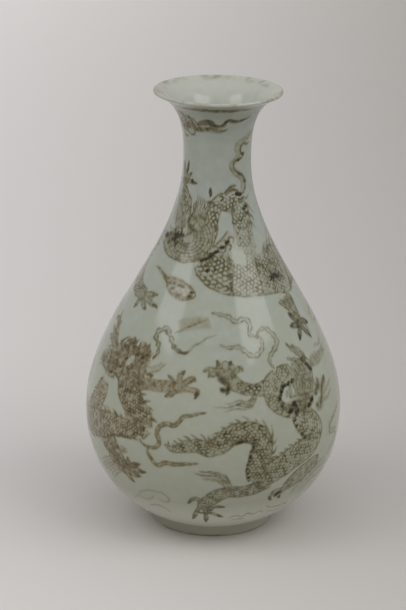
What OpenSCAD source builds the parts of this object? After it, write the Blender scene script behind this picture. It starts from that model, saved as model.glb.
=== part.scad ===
// Pear-shaped porcelain vase on a low foot ring, thrown in three sections that are
// luted together with slip, then painted and glazed. Origin at the centre of the foot, +Z up.

/* [Overall] */
// Height from the floor to the crest of the lip
height = 320; // [290:1:360]
// Diameter of the body at its widest, over the glaze
belly_d = 184.6; // [160:0.1:210]
// Height of the widest place above the floor
belly_z = 85.5; // [70:0.5:110]

/* [Foot] */
// Diameter of the foot at the floor, over the glaze
foot_d = 88.4; // [76:0.1:100]
// How far the foot widens on each side, from the floor up to the body
foot_flare = 0.8; // [0:0.1:2]
// Height of the foot
foot_h = 8.5; // [6:0.1:14]
// Width of the foot ring's clay, measured along the floor
foot_rim_w = 7; // [5:0.1:12]
// Bevel on the two lower edges of the foot ring
foot_bevel = 1; // [0.3:0.1:1.5]
// Height of the bare clay left between the bevel and the edge of the glaze
bare_h = 0.8; // [0.3:0.1:2]
// Thickness of the floor of the vase at its centre
floor_t = 6; // [4:0.1:12]

/* [Body curve] */
// How far the body stands out over the foot
foot_overhang = 2.1; // [0.5:0.1:5]
// Angle above level at which the body springs from the foot
spring_angle = 28; // [20:1:50]
// Fullness of the curve where it springs from the foot
spring_fullness = 0.42; // [0.25:0.01:0.5]
// Fullness of the curve under the widest place
under_fullness = 0.325; // [0.2:0.005:0.45]
// Fullness of the curve over the widest place
shoulder_fullness = 0.345; // [0.2:0.005:0.45]

/* [Neck and mouth] */
// Diameter of the neck at its narrowest, over the glaze
neck_d = 48.3; // [40:0.1:60]
// Height of the narrowest place above the floor
neck_z = 271.5; // [250:0.5:280]
// Diameter of the mouth, over the glaze
mouth_d = 91.5; // [75:0.1:105]
// Fullness of the curve below the narrowest place
throat_fullness = 0.35; // [0.2:0.005:0.45]
// Fullness of the curve above the narrowest place
neck_fullness = 0.365; // [0.2:0.005:0.45]
// Fullness of the curve where it runs out to the lip
lip_fullness = 0.42; // [0.25:0.01:0.5]
// Angle above level at which the mouth flares at the lip
lip_angle = 21; // [10:1:40]

/* [Clay and glaze] */
// Thickness of the clay wall where it springs from the foot
wall_foot = 6; // [4:0.1:8]
// Thickness of the clay wall at the lip
wall_lip = 2.2; // [1.6:0.1:4]
// Thickness of the slip in each luted joint
slip_t = 0.8; // [0.4:0.1:1.5]
// Thickness of the glaze
glaze_t = 0.35; // [0.25:0.05:0.6]
// Height of the joint where the neck is luted to the shoulder
neck_joint_z = 210; // [170:1:235]

/* [Hidden] */

// Facets around the vase, straight steps along one curve of its outline and along the lip
$fn = 180;
curve_steps = 28;
arc_steps = 10;

biscuit_color = "#e9e4d8";
slip_color = "#d9d0c0";
glaze_color = "#cdd5d3";

// Stations along the outline: its three curves run from foot to belly, to neck, to lip
FOOT = 0;
BELLY = 1;
NECK = 2;
LIP = 3;

// The lip is a half round of the wall's full thickness there
lip_r = wall_lip / 2 + glaze_t;

// Points [radius, height] where the curves of the finished outline meet
spring = [foot_d / 2 + foot_flare + foot_overhang, foot_h];
belly = [belly_d / 2, belly_z];
waist = [neck_d / 2, neck_z];
lip_end = [mouth_d / 2 - lip_r * (1 - sin(lip_angle)), height - lip_r * (1 + cos(lip_angle))];

// Directions [out, up]: straight up, as at the widest and narrowest places, and at an angle above level
UP = [0, 1];
function slant(angle) = [cos(angle), sin(angle)];

// One curve: it leaves a in one direction and reaches b in another, with a fullness at each end
function arch(a, way_a, full_a, b, way_b, full_b) =
    let (chord = norm(b - a))
    [a, a + full_a * chord * way_a, b - full_b * chord * way_b, b];
outline = [
    arch(spring, slant(spring_angle), spring_fullness, belly, UP, under_fullness),
    arch(belly, UP, shoulder_fullness, waist, UP, throat_fullness),
    arch(waist, UP, neck_fullness, lip_end, slant(lip_angle), lip_fullness),
];

// The curve that holds station s, and the outline's point, run and outward normal there
function curve_no(s) = min(floor(s), len(outline) - 1);
function point_at(s) =
    let (c = outline[curve_no(s)], t = s - curve_no(s), u = 1 - t)
    u * u * u * c[0] + 3 * u * u * t * c[1] + 3 * u * t * t * c[2] + t * t * t * c[3];
function run_at(s) =
    let (c = outline[curve_no(s)], t = s - curve_no(s), u = 1 - t)
    3 * u * u * (c[1] - c[0]) + 6 * u * t * (c[2] - c[1]) + 3 * t * t * (c[3] - c[2]);
function normal_at(s) =
    let (v = run_at(s))
    [v[1], -v[0]] / norm(v);

// Station between lo and hi at height z, found by halving
function station_at(z, lo, hi, halvings = 40) =
    let (middle = (lo + hi) / 2)
    halvings == 0 ? middle
        : point_at(middle)[1] < z ? station_at(z, middle, hi, halvings - 1)
        : station_at(z, lo, middle, halvings - 1);

// Stations of the luted joints, each as thick as its slip
function slip_top(s) = s + slip_t / norm(run_at(s));
belly_joint_top = slip_top(BELLY);
neck_joint = station_at(neck_joint_z, BELLY, NECK);
neck_joint_top = slip_top(neck_joint);

// All stations, in order, so that faces that touch share their rings
breaks = [FOOT, BELLY, belly_joint_top, neck_joint, neck_joint_top, LIP];
function steps(a, b) = ceil((b - a) * curve_steps);
stations = concat(
    [
        for (i = [0 : len(breaks) - 2])
            let (a = breaks[i], b = breaks[i + 1], n = steps(a, b))
            for (k = [0 : n - 1])
                a + (b - a) * k / n
    ],
    [LIP]
);

// Depths under the finished outline: its own face, the two faces of the clay, the face inside
wall_at = function (s) wall_foot + (wall_lip - wall_foot) * s / LIP;
skin = function (s) 0;
clay_out = function (s) glaze_t;
clay_in = function (s) glaze_t + wall_at(s);
glaze_in = function (s) glaze_t + wall_at(s) + glaze_t;

// Points of the face at a depth, up the outline from station a to station b
function back(points) = [for (k = [len(points) - 1 : -1 : 0]) points[k]];
function sink(s, depth) = point_at(s) - depth * normal_at(s);
function face(a, b, depth) = [for (s = stations) if (s >= a && s <= b) sink(s, depth(s))];

// Points of the lip at radius r, turned from its outer face (0) over its crest to its inner face (180)
lip_crest = 180 - lip_angle;
lip_middle = sink(LIP, lip_r);
lip_out = normal_at(LIP);
lip_up = [-lip_out[1], lip_out[0]];
function lip_arc(from, to, r) = [
    for (k = [1 : arc_steps])
        let (turn = from + (to - from) * k / arc_steps)
        lip_middle + r * (cos(turn) * lip_out + sin(turn) * lip_up)
];
function lip_outside(r) = lip_arc(0, lip_crest, r);
function lip_inside(r) = lip_arc(180, lip_crest, r);

// The foot ring's clay, and the edge of the glaze above it
foot_slip_z = foot_h - slip_t;
foot_inner_r = foot_d / 2 - glaze_t - foot_rim_w;
function foot_clay_r(z) = foot_d / 2 - glaze_t + foot_flare * z / foot_h;
glaze_edge_z = foot_bevel + bare_h;
floor_z = foot_h + floor_t;

// A band of the clay wall between two stations
module wall_band(a, b) {
    rotate_extrude()
        polygon(concat(face(a, b, clay_out), back(face(a, b, clay_in))));
}

module foot_ring() {
    color(biscuit_color)
        rotate_extrude()
            polygon([
                [foot_inner_r + foot_bevel, 0],
                [foot_clay_r(0) - foot_bevel, 0],
                [foot_clay_r(foot_bevel), foot_bevel],
                [foot_clay_r(foot_slip_z), foot_slip_z],
                [foot_inner_r, foot_slip_z],
                [foot_inner_r, foot_bevel],
            ]);
}

module foot_slip() {
    color(slip_color)
        rotate_extrude()
            polygon([
                [foot_inner_r, foot_slip_z],
                [foot_clay_r(foot_slip_z), foot_slip_z],
                [foot_clay_r(foot_h), foot_h],
                [foot_inner_r, foot_h],
            ]);
}

module lower_body() {
    color(biscuit_color)
        rotate_extrude()
            polygon(concat(
                [[0, foot_h], [foot_clay_r(foot_h), foot_h]],
                face(FOOT, BELLY, clay_out),
                back(face(FOOT, BELLY, clay_in)),
                [[0, floor_z]]
            ));
}

module belly_slip() {
    color(slip_color)
        wall_band(BELLY, belly_joint_top);
}

module upper_body() {
    color(biscuit_color)
        wall_band(belly_joint_top, neck_joint);
}

module neck_slip() {
    color(slip_color)
        wall_band(neck_joint, neck_joint_top);
}

module neck() {
    color(biscuit_color)
        rotate_extrude()
            polygon(concat(
                face(neck_joint_top, LIP, clay_out),
                lip_outside(wall_lip / 2),
                back(concat(face(neck_joint_top, LIP, clay_in), lip_inside(wall_lip / 2)))
            ));
}

// From the edge above the bare foot, up the whole outside, to the crest of the lip
module outer_glaze() {
    color(glaze_color)
        rotate_extrude()
            polygon(concat(
                [
                    [foot_clay_r(glaze_edge_z), glaze_edge_z],
                    [foot_clay_r(glaze_edge_z) + glaze_t, glaze_edge_z],
                    [foot_clay_r(foot_h) + glaze_t, foot_h - glaze_t],
                ],
                face(FOOT, LIP, skin),
                lip_outside(lip_r),
                back(concat(face(FOOT, LIP, clay_out), lip_outside(wall_lip / 2))),
                [[foot_clay_r(foot_h), foot_h]]
            ));
}

// From the middle of the floor, up the whole inside, to the crest of the lip
module inner_glaze() {
    color(glaze_color)
        rotate_extrude()
            polygon(concat(
                [[0, floor_z]],
                face(FOOT, LIP, clay_in),
                lip_inside(wall_lip / 2),
                back(concat(face(FOOT, LIP, glaze_in), lip_inside(lip_r))),
                [[0, floor_z + glaze_t]]
            ));
}

// The hollow inside the foot ring: the underside of the floor and the ring's inner wall
module base_glaze() {
    color(glaze_color)
        rotate_extrude()
            polygon([
                [0, foot_h - glaze_t],
                [foot_inner_r - glaze_t, foot_h - glaze_t],
                [foot_inner_r - glaze_t, glaze_edge_z],
                [foot_inner_r, glaze_edge_z],
                [foot_inner_r, foot_h],
                [0, foot_h],
            ]);
}

foot_ring();
foot_slip();
lower_body();
belly_slip();
upper_body();
neck_slip();
neck();
outer_glaze();
inner_glaze();
base_glaze();
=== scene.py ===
"""Looks of the pear-shaped porcelain vase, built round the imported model.

The clay and the luting slip stay as packed and get their finishes. The three coats of glaze are
replaced by smooth skins of the same shape, and the painting under the outer one is laid on it as
thin coats of pigment. Places on the vase are written as degrees round it, from the middle of the
front to the right, and millimetres above the floor.
"""

import logging
import math
from collections.abc import Sequence
from dataclasses import dataclass, field
from enum import Enum

import bmesh
import bpy
import numpy as np
from mathutils import Matrix, Vector


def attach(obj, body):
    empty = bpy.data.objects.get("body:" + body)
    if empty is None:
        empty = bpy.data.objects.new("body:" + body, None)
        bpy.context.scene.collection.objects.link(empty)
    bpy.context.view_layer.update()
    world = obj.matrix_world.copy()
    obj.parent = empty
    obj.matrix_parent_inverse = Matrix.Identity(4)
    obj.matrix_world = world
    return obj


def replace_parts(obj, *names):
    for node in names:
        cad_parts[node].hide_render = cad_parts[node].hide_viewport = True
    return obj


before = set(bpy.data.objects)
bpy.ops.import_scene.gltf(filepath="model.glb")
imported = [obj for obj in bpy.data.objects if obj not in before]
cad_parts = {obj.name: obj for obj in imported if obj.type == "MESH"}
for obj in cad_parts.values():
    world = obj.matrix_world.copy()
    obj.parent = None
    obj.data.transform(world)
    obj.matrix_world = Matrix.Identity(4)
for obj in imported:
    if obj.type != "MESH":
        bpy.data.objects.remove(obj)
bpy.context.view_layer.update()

log = logging.getLogger("vase")

MM = 0.001
PIGMENT = "pigment"
SMOOTH_UP_TO = math.radians(40)
SAME_PLACE = 0.002 * MM

Array = np.ndarray
Place = tuple[float, float]
Places = Sequence[Sequence[float]]


def linear(hex_colour: str) -> tuple[float, float, float, float]:
    """Turns an sRGB hex colour into the linear colour that Blender works with.

    Args:
        hex_colour: The colour as "#rrggbb".

    Returns:
        Red, green, blue and an alpha of 1.
    """
    channels = [int(hex_colour[i : i + 2], 16) / 255 for i in (1, 3, 5)]
    mixed = [c / 12.92 if c <= 0.04045 else ((c + 0.055) / 1.055) ** 2.4 for c in channels]
    return (mixed[0], mixed[1], mixed[2], 1.0)


def per_metre(size_mm: float) -> float:
    """Texture scale at which a pattern repeats about every size_mm."""
    return 1.0 / (size_mm * MM)


def span(start: float, end: float, low: float = 0.0, high: float = 1.0) -> dict[str, float]:
    """Values for a node that maps the range from start to end to the range from low to high."""
    return {"From Min": start, "From Max": end, "To Min": low, "To Max": high}


def add_node(
    tree: bpy.types.NodeTree,
    kind: str,
    inputs: dict[str | int, object] | None = None,
    stops: Sequence[tuple[float, str]] = (),
    **settings: object,
) -> bpy.types.Node:
    """Adds one node with its settings, its values and the links that lead into it.

    Args:
        tree: The node tree to add to.
        kind: Blender's name for the node, without its first part.
        inputs: For an input in use, by name or number, a value, a socket to link from, or a node
            to link from, which stands for its first output in use.
        stops: Positions and hex colours for a colour ramp.
        **settings: Other settings of the node.

    Returns:
        The new node.
    """
    node = tree.nodes.new("ShaderNode" + kind)
    for key, value in settings.items():
        setattr(node, key, value)
    in_use = [socket for socket in node.inputs if socket.enabled]
    for key, value in (inputs or {}).items():
        socket = in_use[key] if isinstance(key, int) else next(s for s in in_use if s.name == key)
        if isinstance(value, bpy.types.Node):
            value = next(output for output in value.outputs if output.enabled)
        if isinstance(value, bpy.types.NodeSocket):
            tree.links.new(value, socket)
        else:
            socket.default_value = value
    if stops:
        ramp = node.color_ramp.elements
        while len(ramp) < len(stops):
            ramp.new(1.0)
        for element, (position, colour) in zip(ramp, stops):
            element.position = position
            element.color = linear(colour)
    return node


def new_material(name: str) -> tuple[bpy.types.Material, bpy.types.NodeTree]:
    """Makes a material without nodes.

    Args:
        name: The common name of the real material.

    Returns:
        The material and its node tree.
    """
    material = bpy.data.materials.new(name)
    material.use_nodes = True
    material.node_tree.nodes.clear()
    return material, material.node_tree


class Coat(Enum):
    """Which pigment a figure is painted with."""

    GREY = "grey_brown_underglaze"
    WARM = "iron_brown_underglaze"
    OLIVE = "olive_brown_underglaze"


class Tone(float, Enum):
    """How much pigment a stroke carries, from a bare trace to full strength."""

    TRACE = 0.1
    THIN = 0.2
    WASH = 0.3
    MID = 0.45
    DARK = 0.62
    INK = 0.95


class Layer(float, Enum):
    """Order in which the strokes of one level are laid, whatever the order they are drawn in."""

    WASH = 0.0
    SCALE = 0.2
    LINE = 0.4
    DAB = 0.6
    CLEAR = 0.8


class Taper(Enum):
    """How the width of a stroke runs from its start to its end."""

    EVEN = "even"
    POINTED = "pointed"
    TAIL = "tail"
    ROUND = "round"

    def width(self, t: Array) -> Array:
        """Gives the share of the full width along a stroke.

        Args:
            t: Shares of the stroke's length.

        Returns:
            Shares of its width.
        """
        if self is Taper.EVEN:
            return np.clip(np.minimum(t, 1 - t) * 12 + 0.45, 0, 1)
        if self is Taper.POINTED:
            return np.sin(np.pi * t) ** 0.55
        if self is Taper.TAIL:
            return np.clip(t * 9 + 0.4, 0, 1) * (1 - t) ** 0.7
        return np.sqrt(np.clip(1 - (2 * t - 1) ** 2, 0, 1))


@dataclass
class VaseForm:
    """The outline of the vase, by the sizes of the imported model, in millimetres and degrees."""

    height: float = 320.0
    belly_d: float = 184.6
    belly_z: float = 85.5
    foot_d: float = 88.4
    foot_flare: float = 0.8
    foot_h: float = 8.5
    foot_rim_w: float = 7.0
    foot_bevel: float = 1.0
    bare_h: float = 0.8
    floor_t: float = 6.0
    foot_overhang: float = 2.1
    spring_angle: float = 28.0
    spring_fullness: float = 0.42
    under_fullness: float = 0.325
    shoulder_fullness: float = 0.345
    neck_d: float = 48.3
    neck_z: float = 271.5
    mouth_d: float = 91.5
    throat_fullness: float = 0.35
    neck_fullness: float = 0.365
    lip_fullness: float = 0.42
    lip_angle: float = 21.0
    wall_foot: float = 6.0
    wall_lip: float = 2.2
    glaze_t: float = 0.35
    # How far the skin of glaze lies under the outline, which leaves room for the painting
    sink: float = 0.2
    # Rings of the table of radii, and the least outward lean that its slopes are read from
    rings: int = 1801
    least_lean: float = 0.05
    curves: list[Array] = field(init=False)
    ring_z: Array = field(init=False)
    ring_r: Array = field(init=False)
    ring_slope: Array = field(init=False)

    def __post_init__(self) -> None:
        """Lays the three curves of the outline and a fine table of its radius by height."""
        spring = (self.foot_d / 2 + self.foot_flare + self.foot_overhang, self.foot_h)
        belly = (self.belly_d / 2, self.belly_z)
        waist = (self.neck_d / 2, self.neck_z)
        tilt = math.radians(self.lip_angle)
        lip_end = (
            self.mouth_d / 2 - self.lip_r * (1 - math.sin(tilt)),
            self.height - self.lip_r * (1 + math.cos(tilt)),
        )
        up = 90.0
        leave_foot, reach_lip = self.spring_angle, self.lip_angle
        self.curves = [
            self.arch(spring, leave_foot, self.spring_fullness, belly, up, self.under_fullness),
            self.arch(belly, up, self.shoulder_fullness, waist, up, self.throat_fullness),
            self.arch(waist, up, self.neck_fullness, lip_end, reach_lip, self.lip_fullness),
        ]
        points, normals = self.outline(np.linspace(0, 3, self.rings))
        self.ring_r, self.ring_z = points.T
        self.ring_slope = -normals[:, 1] / np.maximum(normals[:, 0], self.least_lean)

    @property
    def lip_r(self) -> float:
        """Radius of the rounded lip, over the glaze."""
        return self.wall_lip / 2 + self.glaze_t

    @staticmethod
    def arch(
        a: Place, turn_a: float, full_a: float, b: Place, turn_b: float, full_b: float
    ) -> Array:
        """Makes one curve of the outline.

        Args:
            a: Radius and height where it starts.
            turn_a: Angle above level at which it leaves a.
            full_a: Fullness at a.
            b: Radius and height where it ends.
            turn_b: Angle above level at which it reaches b.
            full_b: Fullness at b.

        Returns:
            The curve's four control points.
        """
        start, end = np.array(a), np.array(b)
        chord = np.linalg.norm(end - start)
        leave, reach = (
            np.array([math.cos(turn), math.sin(turn)])
            for turn in map(math.radians, (turn_a, turn_b))
        )
        return np.array([start, start + full_a * chord * leave, end - full_b * chord * reach, end])

    def outline(self, stations: Array) -> tuple[Array, Array]:
        """Follows the outline from the foot at 0 past the belly and the neck to the lip at 3.

        Args:
            stations: Places along the outline.

        Returns:
            The points there, as radius and height, and the outward normals.
        """
        number = np.clip(stations.astype(int), 0, 2)
        t = (stations - number)[:, None]
        u = 1 - t
        a, b, c, d = np.moveaxis(np.stack(self.curves)[number], 1, 0)
        points = u**3 * a + 3 * u * u * t * b + 3 * u * t * t * c + t**3 * d
        run = u * u * (b - a) + 2 * u * t * (c - b) + t * t * (d - c)
        run /= np.linalg.norm(run, axis=1, keepdims=True)
        return points, np.stack([run[:, 1], -run[:, 0]], axis=1)

    def face(self, depth: Array | float, steps: int) -> Array:
        """Gives the face of the wall at a depth under the outline, from the foot to the lip.

        Args:
            depth: Depth in millimetres, one for all or one at each step.
            steps: Steps along each of the three curves.

        Returns:
            Points as radius and height.
        """
        points, normals = self.outline(np.linspace(0, 3, 3 * steps + 1))
        return points - normals * np.reshape(depth, (-1, 1))

    def inner_depth(self, steps: int) -> Array:
        """Depth of the clay's inner face at each step along the outline."""
        share = np.linspace(0, 1, 3 * steps + 1)
        return self.glaze_t + self.wall_foot + (self.wall_lip - self.wall_foot) * share

    def lip(self, start: float, radius: float, steps: int) -> Array:
        """Gives the rounded lip from one face of the wall to its crest.

        Args:
            start: Turn of the face it starts from, 0 outside and 180 inside.
            radius: Radius of the round.
            steps: Steps along it.

        Returns:
            Points as radius and height, without the first.
        """
        point, normal = (v[0] for v in self.outline(np.array([3.0])))
        middle = point - self.lip_r * normal
        up = np.array([-normal[1], normal[0]])
        turn = np.radians(np.linspace(start, 180 - self.lip_angle, steps + 1))[1:, None]
        return middle + radius * (np.cos(turn) * normal + np.sin(turn) * up)

    def foot_clay_r(self, z: float) -> float:
        """Outer radius of the foot ring's clay at a height."""
        return self.foot_d / 2 - self.glaze_t + self.foot_flare * z / self.foot_h

    def radius(self, z: Array) -> Array:
        """Outer radius by height."""
        return np.interp(z, self.ring_z, self.ring_r)

    def slope(self, z: Array) -> Array:
        """Change of the outer radius for each millimetre of height."""
        return np.interp(z, self.ring_z, self.ring_slope)

    def stretch(self, z: Array) -> Array:
        """Length along the outline for each millimetre of height."""
        return np.sqrt(1 + self.slope(z) ** 2)

    def beside(self, theta: Array, z: Array, right: Array, up: Array) -> tuple[Array, Array]:
        """Moves places over the glaze.

        Args:
            theta: Radians round the vase.
            z: Heights.
            right: Millimetres to the right.
            up: Millimetres up along the outline.

        Returns:
            The new radians and heights.
        """
        return theta + right / self.radius(z), z + up / self.stretch(z)

    def place(self, theta: Array, z: Array, lift: Array | float) -> Array:
        """Puts places on the vase, on the glaze or a little above it.

        Args:
            theta: Radians round the vase.
            z: Heights in millimetres.
            lift: Millimetres above the glaze.

        Returns:
            Points in metres.
        """
        height = np.asarray(lift) - self.sink
        lean = self.stretch(z)
        r = self.radius(z) + height / lean
        up = z - height * self.slope(z) / lean
        return np.stack([r * np.sin(theta), -r * np.cos(theta), up], axis=-1) * MM

    def outward(self, points: Array) -> Array:
        """Gives the directions straight out of the glaze.

        Args:
            points: Points on or near the glaze, in metres.

        Returns:
            Unit vectors.
        """
        slope = self.slope(points[:, 2] / MM)
        lean = np.sqrt(1 + slope**2)
        round_axis = points[:, :2] / np.hypot(points[:, 0], points[:, 1])[:, None]
        return np.column_stack([round_axis / lean[:, None], -slope / lean])


class Path:
    """A smooth line over the glaze through chosen places, measured in millimetres."""

    FINE = 0.4
    STATION = 1.5
    LEAST_STEPS = 8
    LEAST_RUN = 1e-3

    def __init__(self, form: VaseForm, places: Places) -> None:
        """Runs a smooth line through the places.

        Args:
            form: The vase.
            places: Degrees and heights, each with a third number where the line carries one.
        """
        self.form = form
        knots = np.asarray(places, float)
        theta, z = np.radians(knots[:, 0]), knots[:, 1]
        middle = (z[1:] + z[:-1]) / 2
        run = np.hypot(np.diff(theta) * form.radius(middle), np.diff(z) * form.stretch(middle))
        t = np.concatenate([[0.0], np.cumsum(np.maximum(run, self.LEAST_RUN))])
        fine = np.linspace(0, t[-1], max(self.LEAST_STEPS, int(t[-1] / self.FINE)) + 1)
        self.theta = self.through(t, theta, fine)
        self.z = self.through(t, z, fine)
        self.third = np.interp(fine, t, knots[:, 2]) if knots.shape[1] > 2 else np.zeros_like(fine)
        right = np.gradient(self.theta) * form.radius(self.z)
        up = np.gradient(self.z) * form.stretch(self.z)
        size = np.hypot(right, up)
        self.left = np.stack([-up / size, right / size])
        self.s = np.concatenate([[0.0], np.cumsum((size[1:] + size[:-1]) / 2)])
        self.length = float(self.s[-1])

    @staticmethod
    def through(t: Array, values: Array, fine: Array) -> Array:
        """Runs a smooth curve through values.

        Args:
            t: Where the values stand.
            values: The values.
            fine: Where to read the curve.

        Returns:
            The values there.
        """
        slope = np.gradient(values, t)
        k = np.clip(np.searchsorted(t, fine, side="right") - 1, 0, len(t) - 2)
        h = t[k + 1] - t[k]
        x = (fine - t[k]) / h
        rise = x * x * (3 - 2 * x)
        bend = h * x * (1 - x) * ((1 - x) * slope[k] - x * slope[k + 1])
        return values[k] * (1 - rise) + values[k + 1] * rise + bend

    def stations(self, least: int, start: float = 0.0, end: float = 1.0) -> Array:
        """Gives even distances along a stretch of the line.

        Args:
            least: The fewest steps.
            start: Share of the length where the stretch starts.
            end: Share where it ends.

        Returns:
            The distances.
        """
        steps = max(least, math.ceil(self.length * (end - start) / self.STATION))
        return np.linspace(start * self.length, end * self.length, steps + 1)

    def carried(self, u: Array) -> Array:
        """The third number that the line carries, at distances along it."""
        return np.interp(u, self.s, self.third)

    def beside(self, u: Array, v: Array | float = 0.0) -> tuple[Array, Array]:
        """Finds places on the line or next to it.

        Args:
            u: Distances along the line.
            v: Distances to its left.

        Returns:
            Radians and heights.
        """
        theta, z, *left = (np.interp(u, self.s, way) for way in (self.theta, self.z, *self.left))
        return self.form.beside(theta, z, left[0] * v, left[1] * v)


@dataclass(frozen=True)
class Mark:
    """Strokes of one kind as strips over the vase, by stroke, by station and from side to side."""

    order: float
    theta: Array
    z: Array
    tone: Array
    wipes: bool

    def filled(self, step: float, reach: float) -> tuple[Array, Array, Array]:
        """Fills the strips with places that lie close together.

        Args:
            step: Most millimetres from place to place.
            reach: About the largest radius of the vase.

        Returns:
            Radians, heights and pigment of the places, the faintest first.
        """
        parts = [self.theta, self.z, self.tone]
        for axis in (1, 2):
            turned, risen = (np.abs(np.diff(part, axis=axis)).max() for part in parts[:2])
            count = parts[0].shape[axis]
            between = math.ceil(max(risen, turned * reach) / step)
            at = np.linspace(0, count - 1, (count - 1) * between + 1)
            low = np.minimum(at.astype(int), count - 2)
            share = np.expand_dims(at - low, (0, 3 - axis))
            parts = [
                np.take(part, low, axis) * (1 - share) + np.take(part, low + 1, axis) * share
                for part in parts
            ]
        rising = np.argsort(parts[2], axis=None)
        return parts[0].ravel()[rising], parts[1].ravel()[rising], parts[2].ravel()[rising]


@dataclass
class Brush:
    """Paints strokes on the vase, which run together into one thin coat of pigment."""

    form: VaseForm
    turn: float = 0.0
    lift: float = 0.05
    level: int = 0
    thickness: float = 0.1
    least_half: float = 0.05
    least_tone: float = 0.012
    least_run: float = 1e-6
    outline_w: float = 1.2
    # Most millimetres across one face of a wash, and how much darker a body is along its edges
    wash_face: float = 1.6
    edge_more: float = 0.1
    # How much wider a stroke, a ribbon and a dab are than their strong part, so that they fade out
    stroke_fade: float = 1.75
    ribbon_fade: float = 1.2
    dab_fade: float = 1.25
    # How far a free hand sways, the grid that the pigment spreads on, and how far it bleeds there
    sway: float = 0.24
    cell: float = 0.28
    bleed: float = 0.38
    bleed_cells: int = 4
    fill_share: float = 0.7
    fill_reach: float = 92.0
    chance: np.random.Generator = field(default_factory=lambda: np.random.default_rng(5))
    marks: list[Mark] = field(default_factory=list)

    def mark(
        self,
        theta: Array,
        z: Array,
        half: Array | float,
        tone: Array | Sequence[float] | float,
        layer: Layer,
        across: int = 1,
        wipes: bool = False,
    ) -> None:
        """Lays strokes along given middle lines, all with as many stations.

        Args:
            theta: Radians, one row for each stroke.
            z: Heights, likewise.
            half: Half widths in millimetres.
            tone: Pigment, one for all or from side to side.
            layer: Which layer they lie in.
            across: Faces across a stroke.
            wipes: Whether they take away what lies under them.
        """
        theta, z = self.unsteady(np.atleast_2d(theta), np.atleast_2d(z))
        right = np.gradient(theta, axis=1) * self.form.radius(z)
        up = np.gradient(z, axis=1) * self.form.stretch(z)
        size = np.maximum(np.hypot(right, up), self.least_run)
        left = -(up / size)[..., None], (right / size)[..., None]
        half = np.maximum(np.broadcast_to(half, theta.shape), self.least_half)
        v = half[..., None] * np.linspace(-1, 1, across + 1)
        theta, z = self.form.beside(theta[..., None], z[..., None], left[0] * v, left[1] * v)
        tone = np.broadcast_to(np.asarray(tone, float), z.shape)
        self.marks.append(Mark(self.level + float(layer), theta, z, tone, wipes))

    def unsteady(self, theta: Array, z: Array) -> tuple[Array, Array]:
        """Shifts places by fractions of a millimetre, as a hand does that paints freely.

        Args:
            theta: Radians round the vase.
            z: Heights.

        Returns:
            The shifted radians and heights.
        """
        x = theta * self.form.radius(z)
        right = np.sin(z / 1.7 + 1.6 * np.sin(x / 4.1)) + 0.8 * np.sin(x / 2.3 - z / 3.7)
        up = np.sin(x / 1.9 + 1.4 * np.sin(z / 3.3)) + 0.8 * np.sin(z / 2.1 + x / 4.3)
        return self.form.beside(theta, z, right * self.sway, up * self.sway)

    def soft(self, theta: Array, z: Array, half: Array, tone: Array | float, layer: Layer) -> None:
        """Lays strokes that are darkest along their middle and fade into the glaze.

        Args:
            theta: Radians, one row for each stroke.
            z: Heights, likewise.
            half: Half widths, before the fading edges are added.
            tone: Pigment along the middle, one for all or one for each stroke.
            layer: Which layer they lie in.
        """
        fade = np.array([0.0, 1.0, 0.0]) * np.reshape(np.asarray(tone, float), (-1, 1, 1))
        self.mark(theta, z, half * self.stroke_fade, fade, layer, 2)

    def outlined(self, theta: Array, z: Array, half: Array, edge: float, fill: float) -> None:
        """Lays a stroke that is dark along both edges and pale between them.

        Args:
            theta: Radians along it.
            z: Heights along it.
            half: Half widths.
            edge: Pigment along the edges.
            fill: Pigment between them.
        """
        between = (edge + fill) / 2
        tone = [0.0, edge, between, fill, between, edge, 0.0]
        self.mark(theta, z, half * self.ribbon_fade, tone, Layer.SCALE, 6)

    def line(
        self, places: Places, width: float, tone: float = Tone.DARK, taper: Taper = Taper.POINTED
    ) -> None:
        """Paints one line, with edges that fade into the glaze.

        Args:
            places: The places that it runs through.
            width: Its full width in millimetres.
            tone: Its pigment.
            taper: How its width runs.
        """
        path = Path(self.form, places)
        u = path.stations(5)
        self.soft(*path.beside(u), width / 2 * taper.width(u / path.length), tone, Layer.LINE)

    def lines(self, many: Sequence[Places], **look: object) -> None:
        """Paints several lines of one look."""
        for places in many:
            self.line(places, **look)

    def fan(self, first: Places, last: Places, count: int, **look: object) -> None:
        """Paints lines side by side from a first line to a last one with as many places.

        Args:
            first: The first line.
            last: The last line.
            count: How many lines there are.
            **look: Their width, tone and taper.
        """
        start, end = np.asarray(first, float), np.asarray(last, float)
        self.lines([start + (end - start) * share for share in np.linspace(0, 1, count)], **look)

    def ovals(
        self, centre: Place, reach: Place, shares: Sequence[float], ends: Place, **look: object
    ) -> None:
        """Paints ovals round one place, each as a line from one angle to another.

        Args:
            centre: Their middle.
            reach: Degrees and millimetres from the middle to the outermost.
            shares: Size of each, as a share of the outermost.
            ends: Angles where each starts and ends.
            **look: Width, tone and taper of the lines.
        """
        turn = np.radians(np.linspace(*ends, 11))
        self.lines([self.around(centre, reach, share, turn) for share in shares], **look)

    def rays(
        self,
        centre: Place,
        reach: Place,
        shares: Sequence[float],
        angles: Sequence[float],
        **look: object,
    ) -> None:
        """Paints lines that run out from round one place.

        Args:
            centre: The place.
            reach: Degrees and millimetres from it that count as full reach.
            shares: Where each line has its places, as shares of the reach.
            angles: The angle of each line.
            **look: Width, tone and taper of the lines.
        """
        out = np.array(shares)
        self.lines(
            [self.around(centre, reach, out, turn) for turn in np.radians(angles)], **look
        )

    @staticmethod
    def around(centre: Place, reach: Place, share: Array | float, turn: Array | float) -> Array:
        """Gives places round a centre.

        Args:
            centre: Its degrees and height.
            reach: Degrees and millimetres from it that count as full reach.
            share: Shares of the reach.
            turn: Angles in radians.

        Returns:
            Degrees and heights.
        """
        across = centre[0] + reach[0] * share * np.cos(turn)
        return np.column_stack([across, centre[1] + reach[1] * share * np.sin(turn)])

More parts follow.
